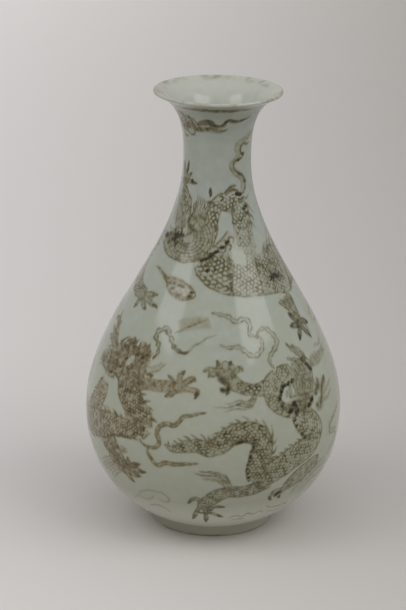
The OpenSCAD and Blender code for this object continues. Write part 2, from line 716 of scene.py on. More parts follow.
    def dabs(self, places: Places, size: Place, tone: float = Tone.INK, lean: float = 0.0) -> None:
        """Paints round or oval dabs.

        Args:
            places: Where they are.
            size: Length and width in millimetres.
            tone: Their pigment.
            lean: Degrees by which their length is turned from level.
        """
        at = np.asarray(places, float)
        t = np.linspace(0, 1, 7)
        along = (t - 0.5) * size[0]
        turn = math.radians(lean)
        theta, z = self.form.beside(
            np.radians(at[:, :1]), at[:, 1:], along * math.cos(turn), along * math.sin(turn)
        )
        half = size[1] / 2 * Taper.ROUND.width(t)
        self.mark(theta, z, half * self.dab_fade, [0.0, tone, tone, tone, 0.0], Layer.DAB, 4)

    def band(self, path: Path, tone: float, edge: float, wipes: bool) -> None:
        """Lays a wash along a line that carries its half width.

        Args:
            path: Its middle line.
            tone: Its pigment in the middle.
            edge: Its pigment along both edges.
            wipes: Whether it takes away what lies under it.
        """
        u = path.stations(6)
        half = path.carried(u)
        across = max(2, math.ceil(2 * half.max() / self.wash_face))
        spread = tone + (edge - tone) * np.linspace(-1, 1, across + 1) ** 2
        self.mark(*path.beside(u), half, spread, Layer.WASH, across, wipes)

    def wash(self, places: Places, tone: float, edge: float, wipes: bool = False) -> None:
        """Lays a wash along places that carry its half width.

        Args:
            places: Its middle line, with its half widths.
            tone: Its pigment in the middle.
            edge: Its pigment along both edges.
            wipes: Whether it takes away what lies under it.
        """
        self.band(Path(self.form, places), tone, edge, wipes)

    def clear(self, places: Places, tone: float) -> None:
        """Leaves glaze nearly bare along places that carry a half width.

        Args:
            places: Its middle line, with its half widths.
            tone: The pigment that is left there, whatever was painted.
        """
        path = Path(self.form, places)
        u = np.linspace(0, path.length, 13)
        self.mark(*path.beside(u), path.carried(u), tone, Layer.CLEAR, 2, True)

    def spots(self, places: Places, reach: float, half: Place, tone: float) -> None:
        """Leaves small round spots nearly bare.

        Args:
            places: Where they are.
            reach: Degrees from the middle of a spot to its end.
            half: Half widths at the ends and in the middle.
            tone: The pigment that is left there.
        """
        ends, middle = half
        for across, up in places:
            left, right = (across - reach, up, ends), (across + reach, up, ends)
            self.clear([left, (across, up, middle), right], tone)

    def scales(self, path: Path, pitch: float, long: float, tone: float) -> None:
        """Covers a line's width with overlapping scales, each a dark bow round a pale middle.

        Args:
            path: The line, which carries the half width.
            pitch: Size of a scale.
            long: Length of a scale, as a share of its width.
            tone: Pigment of the bows.
        """
        # Shares of the pitch: where rows start and stop, how far apart they are, the margin they
        # keep from the edge, how much a scale is off its place, and a bow's length, half and stroke
        first, last, apart, margin, jitter = 0.4, 0.3, 0.8, 0.35, 0.16
        bow_long, bow_half, bow_stroke = 0.55, 0.5, 0.19
        rows = np.arange(pitch * first, path.length - pitch * last, pitch * apart * long)
        centres = []
        for number, u in enumerate(rows):
            room = float(path.carried(u)) - pitch * margin
            count = int(room / pitch) + 1
            v = (np.arange(-count, count + 1) + 0.5 * (number % 2)) * pitch
            centres += [(u, side) for side in v[np.abs(v) <= room]]
        if not centres:
            return
        middle = np.array(centres)
        middle += (self.chance.random(middle.shape) - 0.5) * pitch * jitter
        bow = np.radians(np.linspace(-100, 100, 6))
        u = middle[:, :1] + pitch * bow_long * long * np.cos(bow)
        v = middle[:, 1:] + pitch * bow_half * np.sin(bow)
        uneven = 0.6 + 0.8 * self.chance.random(len(middle))
        half = pitch * bow_stroke * (0.5 + 0.5 * np.cos(bow / 1.3))
        self.soft(*path.beside(u, v), half, tone * uneven, Layer.SCALE)

    def edge_line(self, path: Path, side: int, start: float = 0.0, end: float = 1.0) -> None:
        """Paints the outline along one side of a body.

        Args:
            path: The body's middle line, which carries its half width.
            side: 1 for its left, -1 for its right.
            start: Share of its length where the outline starts.
            end: Share where it ends.
        """
        u = path.stations(5, start, end)
        half = self.outline_w / 2 * Taper.EVEN.width(np.linspace(0, 1, len(u)))
        self.soft(*path.beside(u, side * path.carried(u)), half, Tone.DARK, Layer.LINE)

    def spikes(
        self, path: Path, side: int, size: float, start: float = 0.04, end: float = 0.98
    ) -> None:
        """Paints the flame-like spines along one side of a body, pointing back.

        Args:
            path: The body's middle line, which carries its half width.
            side: 1 for its left, -1 for its right.
            size: Length of a spine.
            start: Share of the body's length where they start.
            end: Share where they end.
        """
        at = np.arange(start * path.length, end * path.length, size * 0.95)[:, None]
        t = np.linspace(0, 1, 5)
        # A spine starts a little inside the outline and leans back more the higher it rises
        lean = size * (0.1 * t + 0.7 * t * t)
        reach = size * (-0.3 + 1.05 * t)
        big = 0.6 + 0.6 * self.chance.random(at.shape)
        theta, z = path.beside(at + lean * big, side * (path.carried(at) + reach * big))
        half = size * 0.27 * (1 - t) ** 0.7 + 0.05
        self.soft(theta, z, half, 0.45 + 0.25 * self.chance.random(len(at)), Layer.LINE)

    def plates(self, path: Path, side: int, pitch: float, start: float, end: float) -> None:
        """Paints the dark belly plates along one side of a body.

        Args:
            path: The body's middle line, which carries its half width.
            side: 1 for its left, -1 for its right.
            pitch: Distance from plate to plate.
            start: Share of the body's length where they start.
            end: Share where they end.
        """
        at = np.arange(start * path.length, end * path.length, pitch)[:, None]
        t = np.linspace(0, 1, 6)
        theta, z = path.beside(at + pitch * 0.2 * t, side * (path.carried(at) - pitch * (0.6 * t)))
        self.mark(theta, z, pitch * 0.26 * Taper.ROUND.width(t), Tone.INK, Layer.DAB)

    def body(
        self,
        places: Places,
        pitch: float,
        back: int = 0,
        spike: float = 4.2,
        tone: float = Tone.THIN,
        net: float = Tone.DARK,
        sides: tuple[int, ...] = (1, -1),
        long: float = 1.0,
    ) -> Path:
        """Paints a scaled body or limb: its wash, its scales, its spines and its outlines.

        Args:
            places: Its middle line, with its half widths.
            pitch: Size of its scales.
            back: Side of its spines, 1 left, -1 right, 0 for none.
            spike: Length of a spine.
            tone: Pigment of its wash.
            net: Pigment of its scales' bows.
            sides: Sides that have an outline.
            long: Length of a scale, as a share of its width.

        Returns:
            Its middle line.
        """
        path = Path(self.form, places)
        self.band(path, tone, tone + self.edge_more, self.level > 0)
        self.scales(path, pitch, long, net)
        if back:
            self.spikes(path, back, spike)
        for side in sides:
            self.edge_line(path, side)
        return path

    def claw(self, toes: Sequence[Places], width: float, tone: float = Tone.DARK) -> None:
        """Paints a claw: a soft palm, and plump toes that run out in dark pointed talons.

        Args:
            toes: The middle line of each toe, from the palm out.
            width: Width of a toe.
            tone: Pigment of their outlines.
        """
        palm = np.mean([places[0] for places in toes], axis=0)
        palm_size, palm_tone, toe_fill = (width * 2.2, width * 2.0), 0.7, 0.5
        talon, talon_w, talon_more = slice(8, None), 0.7, 0.25
        self.dabs([palm], palm_size, tone * palm_tone)
        # A toe narrows, swells at its joint and runs out in its talon
        t = np.linspace(0, 1, 13)
        half = width / 2 * np.interp(t, (0, 0.35, 0.6, 0.82, 1), (0.9, 0.82, 0.92, 0.66, 0.2))
        for places in toes:
            path = Path(self.form, places)
            theta, z = path.beside(t * path.length)
            self.outlined(theta, z, half, tone, toe_fill * tone)
            self.soft(theta[talon], z[talon], half[talon] * talon_w, tone + talon_more, Layer.LINE)

    def curls(
        self, places: Places, count: int, size: float, tone: float = Tone.DARK, width: float = 0.9
    ) -> None:
        """Fills a band with small hooked strokes, as in a tossed mane.

        Args:
            places: The band's middle line, with its half widths.
            count: How many strokes there are.
            size: Length of a stroke.
            tone: Their pigment.
            width: Their width.
        """
        path = Path(self.form, places)
        u = self.chance.random((count, 1)) * path.length
        v = (self.chance.random((count, 1)) * 2 - 1) * path.carried(u)
        t = np.linspace(0, 1, 7)
        # A stroke sets out somewhere near the band's run and hooks away from its middle
        heading = (self.chance.random((count, 1)) - 0.5) * 2.2
        turn = heading + (2.4 + 1.6 * self.chance.random((count, 1))) * np.sign(v + 1e-9) * t
        step = size * (0.6 + 0.7 * self.chance.random((count, 1))) / (len(t) - 1)
        along = np.cumsum(np.cos(turn) * step, axis=1)
        aside = np.cumsum(np.sin(turn) * step, axis=1)
        theta, z = path.beside(
            u + along - along.mean(1, keepdims=True), v + aside - aside.mean(1, keepdims=True)
        )
        half = width / 2 * Taper.POINTED.width(t * 0.96 + 0.02)
        self.soft(theta, z, half, tone * (0.55 + 0.8 * self.chance.random(count)), Layer.LINE)

    def ribbon(
        self, places: Places, width: float, tone: float, fill: float, waist: float = 0.2
    ) -> None:
        """Paints a streaming ribbon: a pale band between two lines that run together at its ends.

        Args:
            places: Its middle line.
            width: Its full width.
            tone: Pigment of the two lines.
            fill: Pigment between them.
            waist: How far it narrows at its waists, as a share of its half width.
        """
        path = Path(self.form, places)
        t = np.linspace(0, 1, max(8, math.ceil(path.length)) + 1)
        u = t * path.length
        scallop = 1 - waist + waist * np.sin(u * 1.15)
        half = width / 2 * (0.2 + 0.8 * np.sin(np.pi * t) ** 0.6) * scallop
        self.outlined(*path.beside(u), half, tone, fill)

    def ribbons(self, many: Sequence[Places], *look: float) -> None:
        """Paints several ribbons of one look."""
        for places in many:
            self.ribbon(places, *look)

    def spread(self) -> tuple[Array, Array, Array]:
        """Lets all strokes so far run together on one fine grid.

        Returns:
            Radians along the grid, heights up it, and the pigment at its places.
        """
        margin = self.bleed_cells * self.bleed
        low = min(mark.z.min() for mark in self.marks) - margin
        high = max(mark.z.max() for mark in self.marks) + margin
        radii = self.form.radius(np.linspace(low, high, 40))
        step = self.cell / radii.max()
        left = min(mark.theta.min() for mark in self.marks) - margin / radii.min()
        right = max(mark.theta.max() for mark in self.marks) + margin / radii.min()
        columns = int((right - left) / step) + 2
        rows = int((high - low) / self.cell) + 2
        pigment = np.zeros(rows * columns)
        for mark in sorted(self.marks, key=lambda mark: mark.order):
            theta, z, tone = mark.filled(self.cell * self.fill_share, self.fill_reach)
            row = np.rint((z - low) / self.cell).astype(int)
            place = row * columns + np.rint((theta - left) / step).astype(int)
            pigment[place] = tone if mark.wipes else np.maximum(pigment[place], tone)
        pigment = pigment.reshape(rows, columns)
        reach = np.arange(-self.bleed_cells, self.bleed_cells + 1) * self.cell / self.bleed
        bell = np.exp(-(reach**2) / 2)
        for axis in (0, 1):
            pigment = np.apply_along_axis(np.convolve, axis, pigment, bell / bell.sum(), "same")
        thinned = slice(None, None, 2)
        theta, z = left + step * np.arange(columns), low + self.cell * np.arange(rows)
        return theta[thinned], z[thinned], pigment[thinned, thinned]

    def piece(self, name: str, material: bpy.types.Material) -> bpy.types.Object:
        """Makes one piece of all strokes: a thin coat wherever there is pigment.

        Args:
            name: The piece's name.
            material: The pigment.

        Returns:
            The piece.
        """
        theta, z, pigment = self.spread()
        bm = bmesh.new()
        layer = bm.verts.layers.float.new(PIGMENT)
        grid = bmesh.ops.create_grid(bm, x_segments=len(theta) - 1, y_segments=len(z) - 1, size=1.0)
        round_vase, up_vase = np.meshgrid(theta + math.radians(self.turn), z)
        places = self.form.place(round_vase, up_vase, self.lift - self.thickness).reshape(-1, 3)
        for vert, co, amount in zip(grid["verts"], places.tolist(), pigment.ravel().tolist()):
            vert.co = co
            vert[layer] = amount
        inked = pigment > self.least_tone
        used = inked[1:, 1:] | inked[1:, :-1] | inked[:-1, 1:] | inked[:-1, :-1]
        bare = [face for face, keep in zip(bm.faces[:], used.ravel().tolist()) if not keep]
        bmesh.ops.delete(bm, geom=bare, context="FACES")
        made = bmesh.ops.extrude_face_region(bm, geom=bm.faces[:], use_keep_orig=True)["geom"]
        raised = [part for part in made if isinstance(part, bmesh.types.BMVert)]
        outward = self.form.outward(np.array([vert.co for vert in raised]))
        for vert, way in zip(raised, outward.tolist()):
            vert.co += Vector(way) * self.thickness * MM
        return finished(bm, name, material)


def turned_round(
    bm: bmesh.types.BMesh, loop: Sequence[bmesh.types.BMVert], steps: int, shut: bool
) -> None:
    """Turns a section a full turn about the vase's axis.

    Args:
        bm: The mesh.
        loop: The section's points, in order.
        steps: Steps of the turn.
        shut: Whether the last point is joined to the first.
    """
    edges = [bm.edges.new(pair) for pair in zip(loop, loop[1:])]
    if shut:
        edges.append(bm.edges.new((loop[-1], loop[0])))
    bmesh.ops.spin(
        bm,
        geom=[*loop, *edges],
        cent=(0, 0, 0),
        axis=(0, 0, 1),
        angle=2 * math.pi,
        steps=steps,
        use_merge=True,
    )
    bmesh.ops.remove_doubles(bm, verts=bm.verts[:], dist=SAME_PLACE)
    bmesh.ops.recalc_face_normals(bm, faces=bm.faces[:])


def as_mesh(bm: bmesh.types.BMesh, name: str, material: bpy.types.Material) -> bpy.types.Object:
    """Puts a mesh into the scene, shaded smooth.

    Args:
        bm: The mesh, which is freed.
        name: The object's name.
        material: Its finish.

    Returns:
        The object.
    """
    mesh = bpy.data.meshes.new(name)
    bm.to_mesh(mesh)
    bm.free()
    mesh.polygons.foreach_set("use_smooth", np.ones(len(mesh.polygons), bool))
    mesh.materials.append(material)
    thing = bpy.data.objects.new(name, mesh)
    bpy.context.scene.collection.objects.link(thing)
    return thing


def finished(bm: bmesh.types.BMesh, name: str, material: bpy.types.Material) -> bpy.types.Object:
    """Turns a mesh into a piece that rides on the vase.

    Args:
        bm: The mesh, which is freed.
        name: The piece's name.
        material: Its finish.

    Returns:
        The piece.
    """
    piece = as_mesh(bm, name, material)
    piece.data.set_sharp_from_angle(angle=SMOOTH_UP_TO)
    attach(piece, "root")
    log.info("%s: %d faces", name, len(piece.data.polygons))
    return piece


@dataclass(frozen=True)
class Glaze:
    """Celadon glaze, fired on porcelain.

    It flows while it melts. The eye sees a glossy skin with slow drifts of tint, milky clouds, iron
    specks, a pale hem where it thins over the foot, painted broader and paler as light bounced from
    the floor onto the underside of the belly, and brown patches where the lip is worn.
    """

    name: str = "celadon_glaze"
    cool: str = "#949a8f"
    warm: str = "#9ea18e"
    pale: str = "#a5a99e"
    # Pale hem where the glaze thins over the foot, with painted light bounced from the floor
    hem_and_painted_bounce: str = "#d9d9cb"
    foot: str = "#9b9886"
    speck: str = "#6d6653"
    lip: str = "#aeaf9f"
    wear: str = "#786d54"
    drift_mm: float = 60.0
    cloud_mm: float = 7.0
    speck_mm: float = 11.0
    wear_mm: float = 9.0
    ripple_mm: float = 14.0
    ripple_h: float = 0.5
    roughness: float = 0.11
    uneven: float = 0.03
    ior: float = 1.5

    def colour(self, tree: bpy.types.NodeTree) -> bpy.types.Node:
        """Adds the nodes of the glaze's colour, with its painted bounce light low on the belly.

        Args:
            tree: The material's nodes.

        Returns:
            The node that gives the colour.
        """
        where = add_node(tree, "TexCoord").outputs["Object"]
        height = add_node(tree, "SeparateXYZ", {"Vector": where}).outputs["Z"]
        drift, cloud, patch = (
            add_node(tree, "TexNoise", {"Vector": where, "Scale": per_metre(mm), "Detail": detail})
            for mm, detail in ((self.drift_mm, 3.0), (self.cloud_mm, 4.0), (self.wear_mm, 4.0))
        )
        cells = add_node(tree, "TexVoronoi", {"Vector": where, "Scale": per_metre(self.speck_mm)})
        fall = add_node(tree, "MapRange", {"Value": height, **span(0.3, 0.02, -0.25, 0.65)})
        warmth = add_node(tree, "Math", {0: fall, 1: drift}, operation="ADD", use_clamp=True)
        tint = add_node(
            tree, "ValToRGB", {"Fac": warmth}, stops=((0.25, self.cool), (0.85, self.warm))
        )
        worn = add_node(tree, "MapRange", {"Value": patch, **span(0.47, 0.65, 0.0, 0.55)})
        # Where each colour shows, by a pattern or by the height in metres, and how strongly
        for value, share, colour in (
            (cloud, span(0.45, 0.75, 0.0, 0.5), self.pale),
            (cells, span(0.02, 0.045, 0.55, 0.0), self.speck),
            # Painted light: paler from 40 mm down to the foot, as floor light bounced onto the
            # belly's underside
            (height, span(0.04, 0.0095, 0.0, 0.85), self.hem_and_painted_bounce),
            (height, span(0.0092, 0.0075), self.foot),
            (height, span(0.3145, 0.3175, 0.0, 0.8), self.lip),
            (height, {**span(0.3165, 0.3185), "To Max": worn}, self.wear),
        ):
            part = add_node(tree, "MapRange", {"Value": value, **share})
            mixed = {"Factor": part, "A": tint, "B": linear(colour)}
            tint = add_node(tree, "Mix", mixed, data_type="RGBA")
        return tint

    def shade(self, tree: bpy.types.NodeTree, colour: bpy.types.Node) -> None:
        """Adds the glossy coat over a colour, and the material's output.

        Args:
            tree: The material's nodes.
            colour: The node that gives the colour under the gloss.
        """
        where = add_node(tree, "TexCoord").outputs["Object"]
        ripple = add_node(
            tree, "TexNoise", {"Vector": where, "Scale": per_metre(self.ripple_mm), "Detail": 2.0}
        )
        bump = add_node(
            tree, "Bump", {"Height": ripple, "Strength": 0.12, "Distance": self.ripple_h * MM}
        )
        least, most = self.roughness - self.uneven, self.roughness + self.uneven
        haze = add_node(tree, "MapRange", {"Value": ripple, **span(0.0, 1.0, least, most)})
        gloss = add_node(
            tree,
            "BsdfPrincipled",
            {"Base Color": colour, "Roughness": haze, "IOR": self.ior, "Normal": bump},
        )
        add_node(tree, "OutputMaterial", {"Surface": gloss})

    def material(self) -> bpy.types.Material:
        """Makes the glaze's material.

        Returns:
            The material.
        """
        material, tree = new_material(self.name)
        self.shade(tree, self.colour(tree))
        return material


@dataclass(frozen=True)
class Underglaze:
    """Iron pigment, brushed on the clay under the glaze.

    The eye sees a mottled brown, from a pale stain where the brush ran thin to nearly black where
    it was loaded, under the same gloss as the bare glaze.
    """

    name: str
    thin: str
    mid: str
    dense: str
    glaze: Glaze
    mottle_mm: float = 3.5

    def material(self) -> bpy.types.Material:
        """Makes the pigment's material, which fades into the glaze where there is none.

        Returns:
            The material.
        """
        material, tree = new_material(self.name)
        bare = self.glaze.colour(tree)
        amount = add_node(tree, "Attribute", attribute_name=PIGMENT).outputs["Fac"]
        where = add_node(tree, "TexCoord").outputs["Object"]
        mottle = add_node(
            tree,
            "TexNoise",
            {"Vector": where, "Scale": per_metre(self.mottle_mm), "Detail": 4.0, "Roughness": 0.6},
        )
        uneven = add_node(tree, "MapRange", {"Value": mottle, **span(0.3, 0.7, 0.55, 1.45)})
        load = add_node(tree, "Math", {0: amount, 1: uneven}, operation="MULTIPLY", use_clamp=True)
        stops = ((0.0, self.thin), (0.5, self.mid), (1.0, self.dense))
        hue = add_node(tree, "ValToRGB", {"Fac": load}, stops=stops)
        cover = add_node(tree, "MapRange", {"Value": load, **span(0.0, 0.5)})
        mixed = add_node(tree, "Mix", {"Factor": cover, "A": bare, "B": hue}, data_type="RGBA")
        self.glaze.shade(tree, mixed)
        return material


@dataclass(frozen=True)
class Clay:
    """Fired porcelain clay without glaze.

    The eye sees a matte off-white with iron stains. Its real grain is finer than the render can
    show, so it is drawn coarser, at grain_mm.
    """

    name: str
    pale: str
    stain: str
    grain_mm: float
    roughness: float
    stain_mm: float = 12.0
    grain_h: float = 0.2
    ior: float = 1.5

    def material(self) -> bpy.types.Material:
        """Makes the clay's material.

        Returns:
            The material.
        """
        material, tree = new_material(self.name)
        where = add_node(tree, "TexCoord").outputs["Object"]
        patch, grain = (
            add_node(tree, "TexNoise", {"Vector": where, "Scale": per_metre(mm), "Detail": detail})
            for mm, detail in ((self.stain_mm, 5.0), (self.grain_mm, 4.0))
        )
        stops = ((0.35, self.pale), (0.75, self.stain))
        hue = add_node(tree, "ValToRGB", {"Fac": patch}, stops=stops)
        bump = add_node(
            tree, "Bump", {"Height": grain, "Strength": 0.35, "Distance": self.grain_h * MM}
        )
        matte = add_node(
            tree,
            "BsdfPrincipled",
            {"Base Color": hue, "Roughness": self.roughness, "IOR": self.ior, "Normal": bump},
        )
        add_node(tree, "OutputMaterial", {"Surface": matte})
        return material


@dataclass
class Skins:
    """The three coats of glaze as smooth closed skins turned on the vase's axis."""

    form: VaseForm
    steps: int = 44
    back_steps: int = 20
    lip_steps: int = 12
    turns: int = 240

    def turned(self, parts: Sequence[Places], node: str, glaze: bpy.types.Material) -> None:
        """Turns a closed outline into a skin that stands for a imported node.

        Args:
            parts: Runs of points as radius and height, in order round the section.
            node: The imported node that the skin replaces.
            glaze: Its finish.
        """
        bm = bmesh.new()
        outline = np.concatenate(parts).tolist()
        loop = [bm.verts.new((r * MM, 0.0, z * MM)) for r, z in outline]
        turned_round(bm, loop, self.turns, shut=outline[0][0] > 0)
        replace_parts(finished(bm, f"{node}_skin", glaze), node)

    def build(self, glaze: bpy.types.Material, lining: bpy.types.Material) -> None:
        """Makes the three skins.

        Args:
            glaze: Finish of the outside.
            lining: Finish of the inside and of the hollow under the foot.
        """
        form = self.form
        edge_z = form.foot_bevel + form.bare_h
        coat = form.glaze_t - form.sink
        foot_top = form.foot_clay_r(form.foot_h)
        clay_lip = form.wall_lip / 2
        outer = [
            [(form.foot_clay_r(edge_z), edge_z), (form.foot_clay_r(edge_z) + coat, edge_z)],
            [(foot_top + coat, form.foot_h - coat)],
            form.face(form.sink, self.steps),
            form.lip(0, form.lip_r - form.sink, self.lip_steps),
            form.lip(0, clay_lip, self.lip_steps)[::-1],
            form.face(form.glaze_t, self.back_steps)[::-1],
            [(foot_top, form.foot_h)],
        ]
        self.turned(outer, "outer_glaze", glaze)
        floor_z = form.foot_h + form.floor_t
        inner = [
            [(0.0, floor_z + coat)],
            form.face(form.inner_depth(self.steps) + coat, self.steps),
            form.lip(180, form.lip_r - form.sink, self.lip_steps),
            form.lip(180, clay_lip, self.lip_steps)[::-1],
            form.face(form.inner_depth(self.back_steps), self.back_steps)[::-1],
            [(0.0, floor_z)],
        ]
        self.turned(inner, "inner_glaze", lining)
        hollow_r = form.foot_d / 2 - form.glaze_t - form.foot_rim_w
        base = [
            [(0.0, form.foot_h - coat), (hollow_r - coat, form.foot_h - coat)],
            [(hollow_r - coat, edge_z), (hollow_r, edge_z)],
            [(hollow_r, form.foot_h), (0.0, form.foot_h)],
        ]
        self.turned(base, "base_glaze", lining)


@dataclass
class RimLine:
    """The painted line round the neck under the lip: a low ring that follows the flare."""

    form: VaseForm
    low: float = 310.8
    high: float = 314.4
    steps: int = 9
    lift: float = 0.004
    crown: float = 0.03
    sunk: float = -0.05
    amount: float = 0.34
    turns: int = 180

    def build(self, material: bpy.types.Material) -> None:
        """Makes the line's piece.

        Args:
            material: Its pigment.
        """
        bm = bmesh.new()
        layer = bm.verts.layers.float.new(PIGMENT)
        swell = np.sin(np.linspace(0, math.pi, self.steps))
        rise = np.linspace(self.low, self.high, self.steps)
        heights = np.concatenate([rise, rise[::-1]])
        lifts = np.concatenate([self.lift + self.crown * swell, np.full(self.steps, self.sunk)])
        section = self.form.place(np.zeros(2 * self.steps), heights, lifts)
        loop = [bm.verts.new(point) for point in section.tolist()]
        for vert, share in zip(loop, swell.tolist()):
            vert[layer] = self.amount * share
        turned_round(bm, loop, self.turns, shut=True)
        finished(bm, "rim_line", material)


@dataclass
class Figure:
    """A painted figure: where it stands round the vase, and what it is painted with."""

    name: str
    turn: float
    coat: Coat
    lift: float = 0.05

    def draw(self, brush: Brush) -> None:
        """Paints the figure with the brush."""
        raise NotImplementedError

    def build(self, form: VaseForm, paints: dict[Coat, bpy.types.Material]) -> None:
        """Makes the figure's piece.

        Args:
            form: The vase.
            paints: The pigments.
        """
        brush = Brush(form, turn=self.turn, lift=self.lift)
        self.draw(brush)
        brush.piece(self.name, paints[self.coat])


class Dragon(Figure):
    """A dragon, whose limbs lie behind its coils and its head in front."""

    def draw(self, brush: Brush) -> None:
        """Paints the limbs, the coils and the head."""
        for part in (self.limbs, self.coils, self.head):
            part(brush)

    def limbs(self, brush: Brush) -> None:
        """Paints the claws and the limbs that carry them."""
        raise NotImplementedError

    def coils(self, brush: Brush) -> None:
        """Paints the body."""
        raise NotImplementedError

    def head(self, brush: Brush) -> None:
        """Paints the head."""
        raise NotImplementedError


class ShoulderDragon(Dragon):
    """The dragon that winds round the shoulder, with one coil raised in a loop."""

    def coils(self, brush: Brush) -> None:
        """Paints the loop of the neck and the broad coil in front of it.

        Args:
            brush: What it is painted with.
        """
        brush.level = 0
        tail = brush.body([
            (84, 199, 9), (90, 206, 6.4), (93.5, 214, 4.8), (92.5, 222, 3.6), (89.5, 229, 2.6),
            (88.5, 236, 1.6), (91, 242, 0.6),
        ], pitch=2.9, tone=0.14, net=0.6)
        brush.spikes(tail, -1, 4.4, 0.1, 0.9)
        loop = brush.body([
            (-17, 210, 5), (-12, 218, 5.8), (-7.5, 226, 5), (-6, 234, 4.4), (-2, 241, 4.6),
            (6, 245, 5.8), (16, 245.3, 6.2), (27, 244, 6.6), (34.5, 239.5, 7), (36.5, 233, 7.2),
            (35, 226, 7.6),
        ], pitch=3.1, tone=0.06, net=0.64)
        brush.spikes(loop, 1, 5.2, 0.72, 0.96)
        brush.body([
            (36, 229, 7.6), (34, 220, 8.6), (31, 212, 9.2), (28, 204, 9.6),
        ], pitch=3.1, tone=0.08, net=0.4, sides=())
        brush.dabs([(-0.5, 227), (-1, 229)], (2.8, 2.4), 0.9, 50)
        brush.dabs([(28, 228), (26.5, 224), (29, 220.5)], (1.4, 1.2), 0.8)
        brush.dabs([(45, 241), (42, 240), (46, 236.5), (40, 246.5), (-8, 245)], (4.6, 2.8), 0.8, 10)
        brush.lines([
            [(44, 246), (50, 246.5), (58, 248.5)], [(46, 241), (53, 239), (61, 235)],
            [(44, 232), (50, 230), (55, 224.5)], [(44, 230), (41, 221), (40, 212)],
        ], width=2.6, tone=0.45, taper=Taper.TAIL)
        brush.level = 1
        coil = brush.body([
            (10, 199.3, 14.5), (16, 199, 15.5), (24, 198, 15.5), (32, 196.5, 14.5),
            (40, 195.3, 13.7), (50, 196, 15), (60, 196, 17), (70, 195.5, 18), (80, 194.5, 15),
            (88, 191.5, 11), (95, 187.5, 7.6), (102, 182.5, 5.6),
        ], pitch=3.1, tone=0.1, net=0.58, sides=(-1,))
        brush.edge_line(coil, 1, 0.46, 1.0)
        brush.spikes(coil, 1, 6.5, 0.46, 0.76)
        brush.clear([(15, 213.5, 2.4), (20, 211, 4.2), (25, 208.5, 5), (30, 208.5, 3)], 0.12)
        brush.body([
            (-17, 205.5, 3.5), (-9, 202.5, 8), (-1, 200.5, 11.5), (7, 199.5, 14), (15, 199, 15.2),
        ], pitch=3.5, tone=0.13, net=0.72, sides=(-1,), long=1.2)
        brush.body([
            (-18, 206.8, 2.8), (-9, 209, 4.2), (-1, 211.5, 4.8), (8, 215.5, 5), (15, 219.3, 5),
            (21, 223.8, 4.8),
        ], pitch=4.2, tone=0.16, net=0.6, sides=(1,), long=1.3)
        brush.dabs([
            (13, 219.2), (6.6, 215.7), (0.8, 212.6), (-4.5, 210.3), (-9, 208.4), (-13, 207),
            (-17, 208), (-8, 204), (-6.5, 201),
        ], (3.8, 2.6), 1.0, 20)
        brush.wash([(42, 194, 9), (52, 195, 13), (62, 195, 15), (74, 194, 14)], Tone.THIN, 0.0)
        brush.curls([(42, 195, 10), (52, 196, 13), (62, 195, 15), (76, 194, 14)], 70, 4.4, 0.5, 1.2)
        brush.lines([
            [(47, 193.5), (56, 192.5), (70, 190)], [(52, 197.5), (57, 192.5), (62, 188)],
            [(52, 189), (56, 192.5), (63, 196)], [(49, 190.8), (57, 192), (66, 193.5)],
        ], width=2.8, tone=1.0)
        brush.dabs([(55.5, 192.8), (60, 192.3)], (6, 3.4), 1.0)
        brush.fan(
            [(60, 211), (68, 214), (76, 219), (84, 222)],
            [(64, 198), (72, 198.5), (80, 200), (88, 201)],
            5, width=2.0, tone=0.36, taper=Taper.TAIL,
        )

    def head(self, brush: Brush) -> None:
        """Paints the head: scaly cheek, dark brow, ear and streaming hair.

        Args:
            brush: What it is painted with.
        """
        brush.level = 2
        brush.body([
            (-66, 215, 3), (-54, 211.5, 5), (-43, 210.5, 6), (-32, 210.5, 6.6), (-21, 213, 7),
            (-15, 218.5, 6.4), (-13, 226, 5.4), (-16, 232, 4),
        ], pitch=2.9, tone=0.22, net=0.3, sides=(-1,))
        brush.wash([(-46, 219, 5), (-35, 219, 7), (-25, 224, 7.5), (-17, 229, 6)], 0.24, 0.2)
        brush.lines([
            [(-35, 221), (-35, 227), (-32, 232), (-26, 235), (-18, 235)],
            [(-31, 222), (-30, 227), (-26, 231), (-19, 232)],
            [(-27, 221.5), (-26, 225.5), (-22, 228.5), (-17, 229)],
            [(-23, 221), (-21.5, 224.5), (-17, 226)],
            [(-39, 220), (-31, 223.5), (-23, 225.5), (-16, 223)],
            [(-31, 229), (-25, 226), (-20, 221)], [(-27, 233.5), (-22, 229.5), (-17, 223)],
        ], width=1.3, tone=0.6)
        brush.ovals(
            (-33, 220.5), (27, 14), (0.3, 0.45, 0.6, 0.75, 0.9, 1.04), (-170, 45), width=1.2,
            tone=0.62,
        )
        brush.rays(
            (-33, 220.5), (27, 14), (0.35, 0.7, 1.06), range(-165, 50, 13), width=1.1, tone=0.56,
            taper=Taper.EVEN,
        )
        brush.wash([
            (-73, 217, 2), (-67, 216.5, 4), (-58, 217.5, 6), (-49, 218.5, 6), (-40, 220.5, 4.5),
        ], 0.5, 0.2)
        brush.curls([(-62, 217, 4), (-52, 218, 6), (-41, 221, 4)], 30, 4.2, 0.75, 1.5)
        brush.dabs([
            (-49, 218.5), (-44.5, 219.5), (-53, 217), (-47, 216), (-50, 220), (-42, 221),
            (-67, 217.3), (-69, 217.3),
        ], (5.4, 3.8), 0.9, 15)
        brush.lines([
            [(-76, 219.5), (-70, 219), (-62, 218.5), (-54, 219)],
            [(-76, 213.5), (-68, 211.5), (-58, 209), (-46, 207)],
            [(-72, 223), (-66, 222.5), (-58, 223), (-52, 224)],
        ], width=1.8, tone=Tone.MID)
        brush.lines([
            [(-33, 236.5), (-36.5, 232.5), (-34.5, 228.5), (-28, 225)],
            [(-37, 227), (-32, 226), (-27, 225.5)],
        ], width=3.6, tone=0.85)
        brush.ovals((-25, 230.5), (10, 5.5), (0.4, 0.7, 1.0), (-60, 150), width=1.4, tone=0.55)
        brush.wash([(-30, 229, 5), (-24, 234, 8), (-21, 241, 6)], 0.24, 0.1)
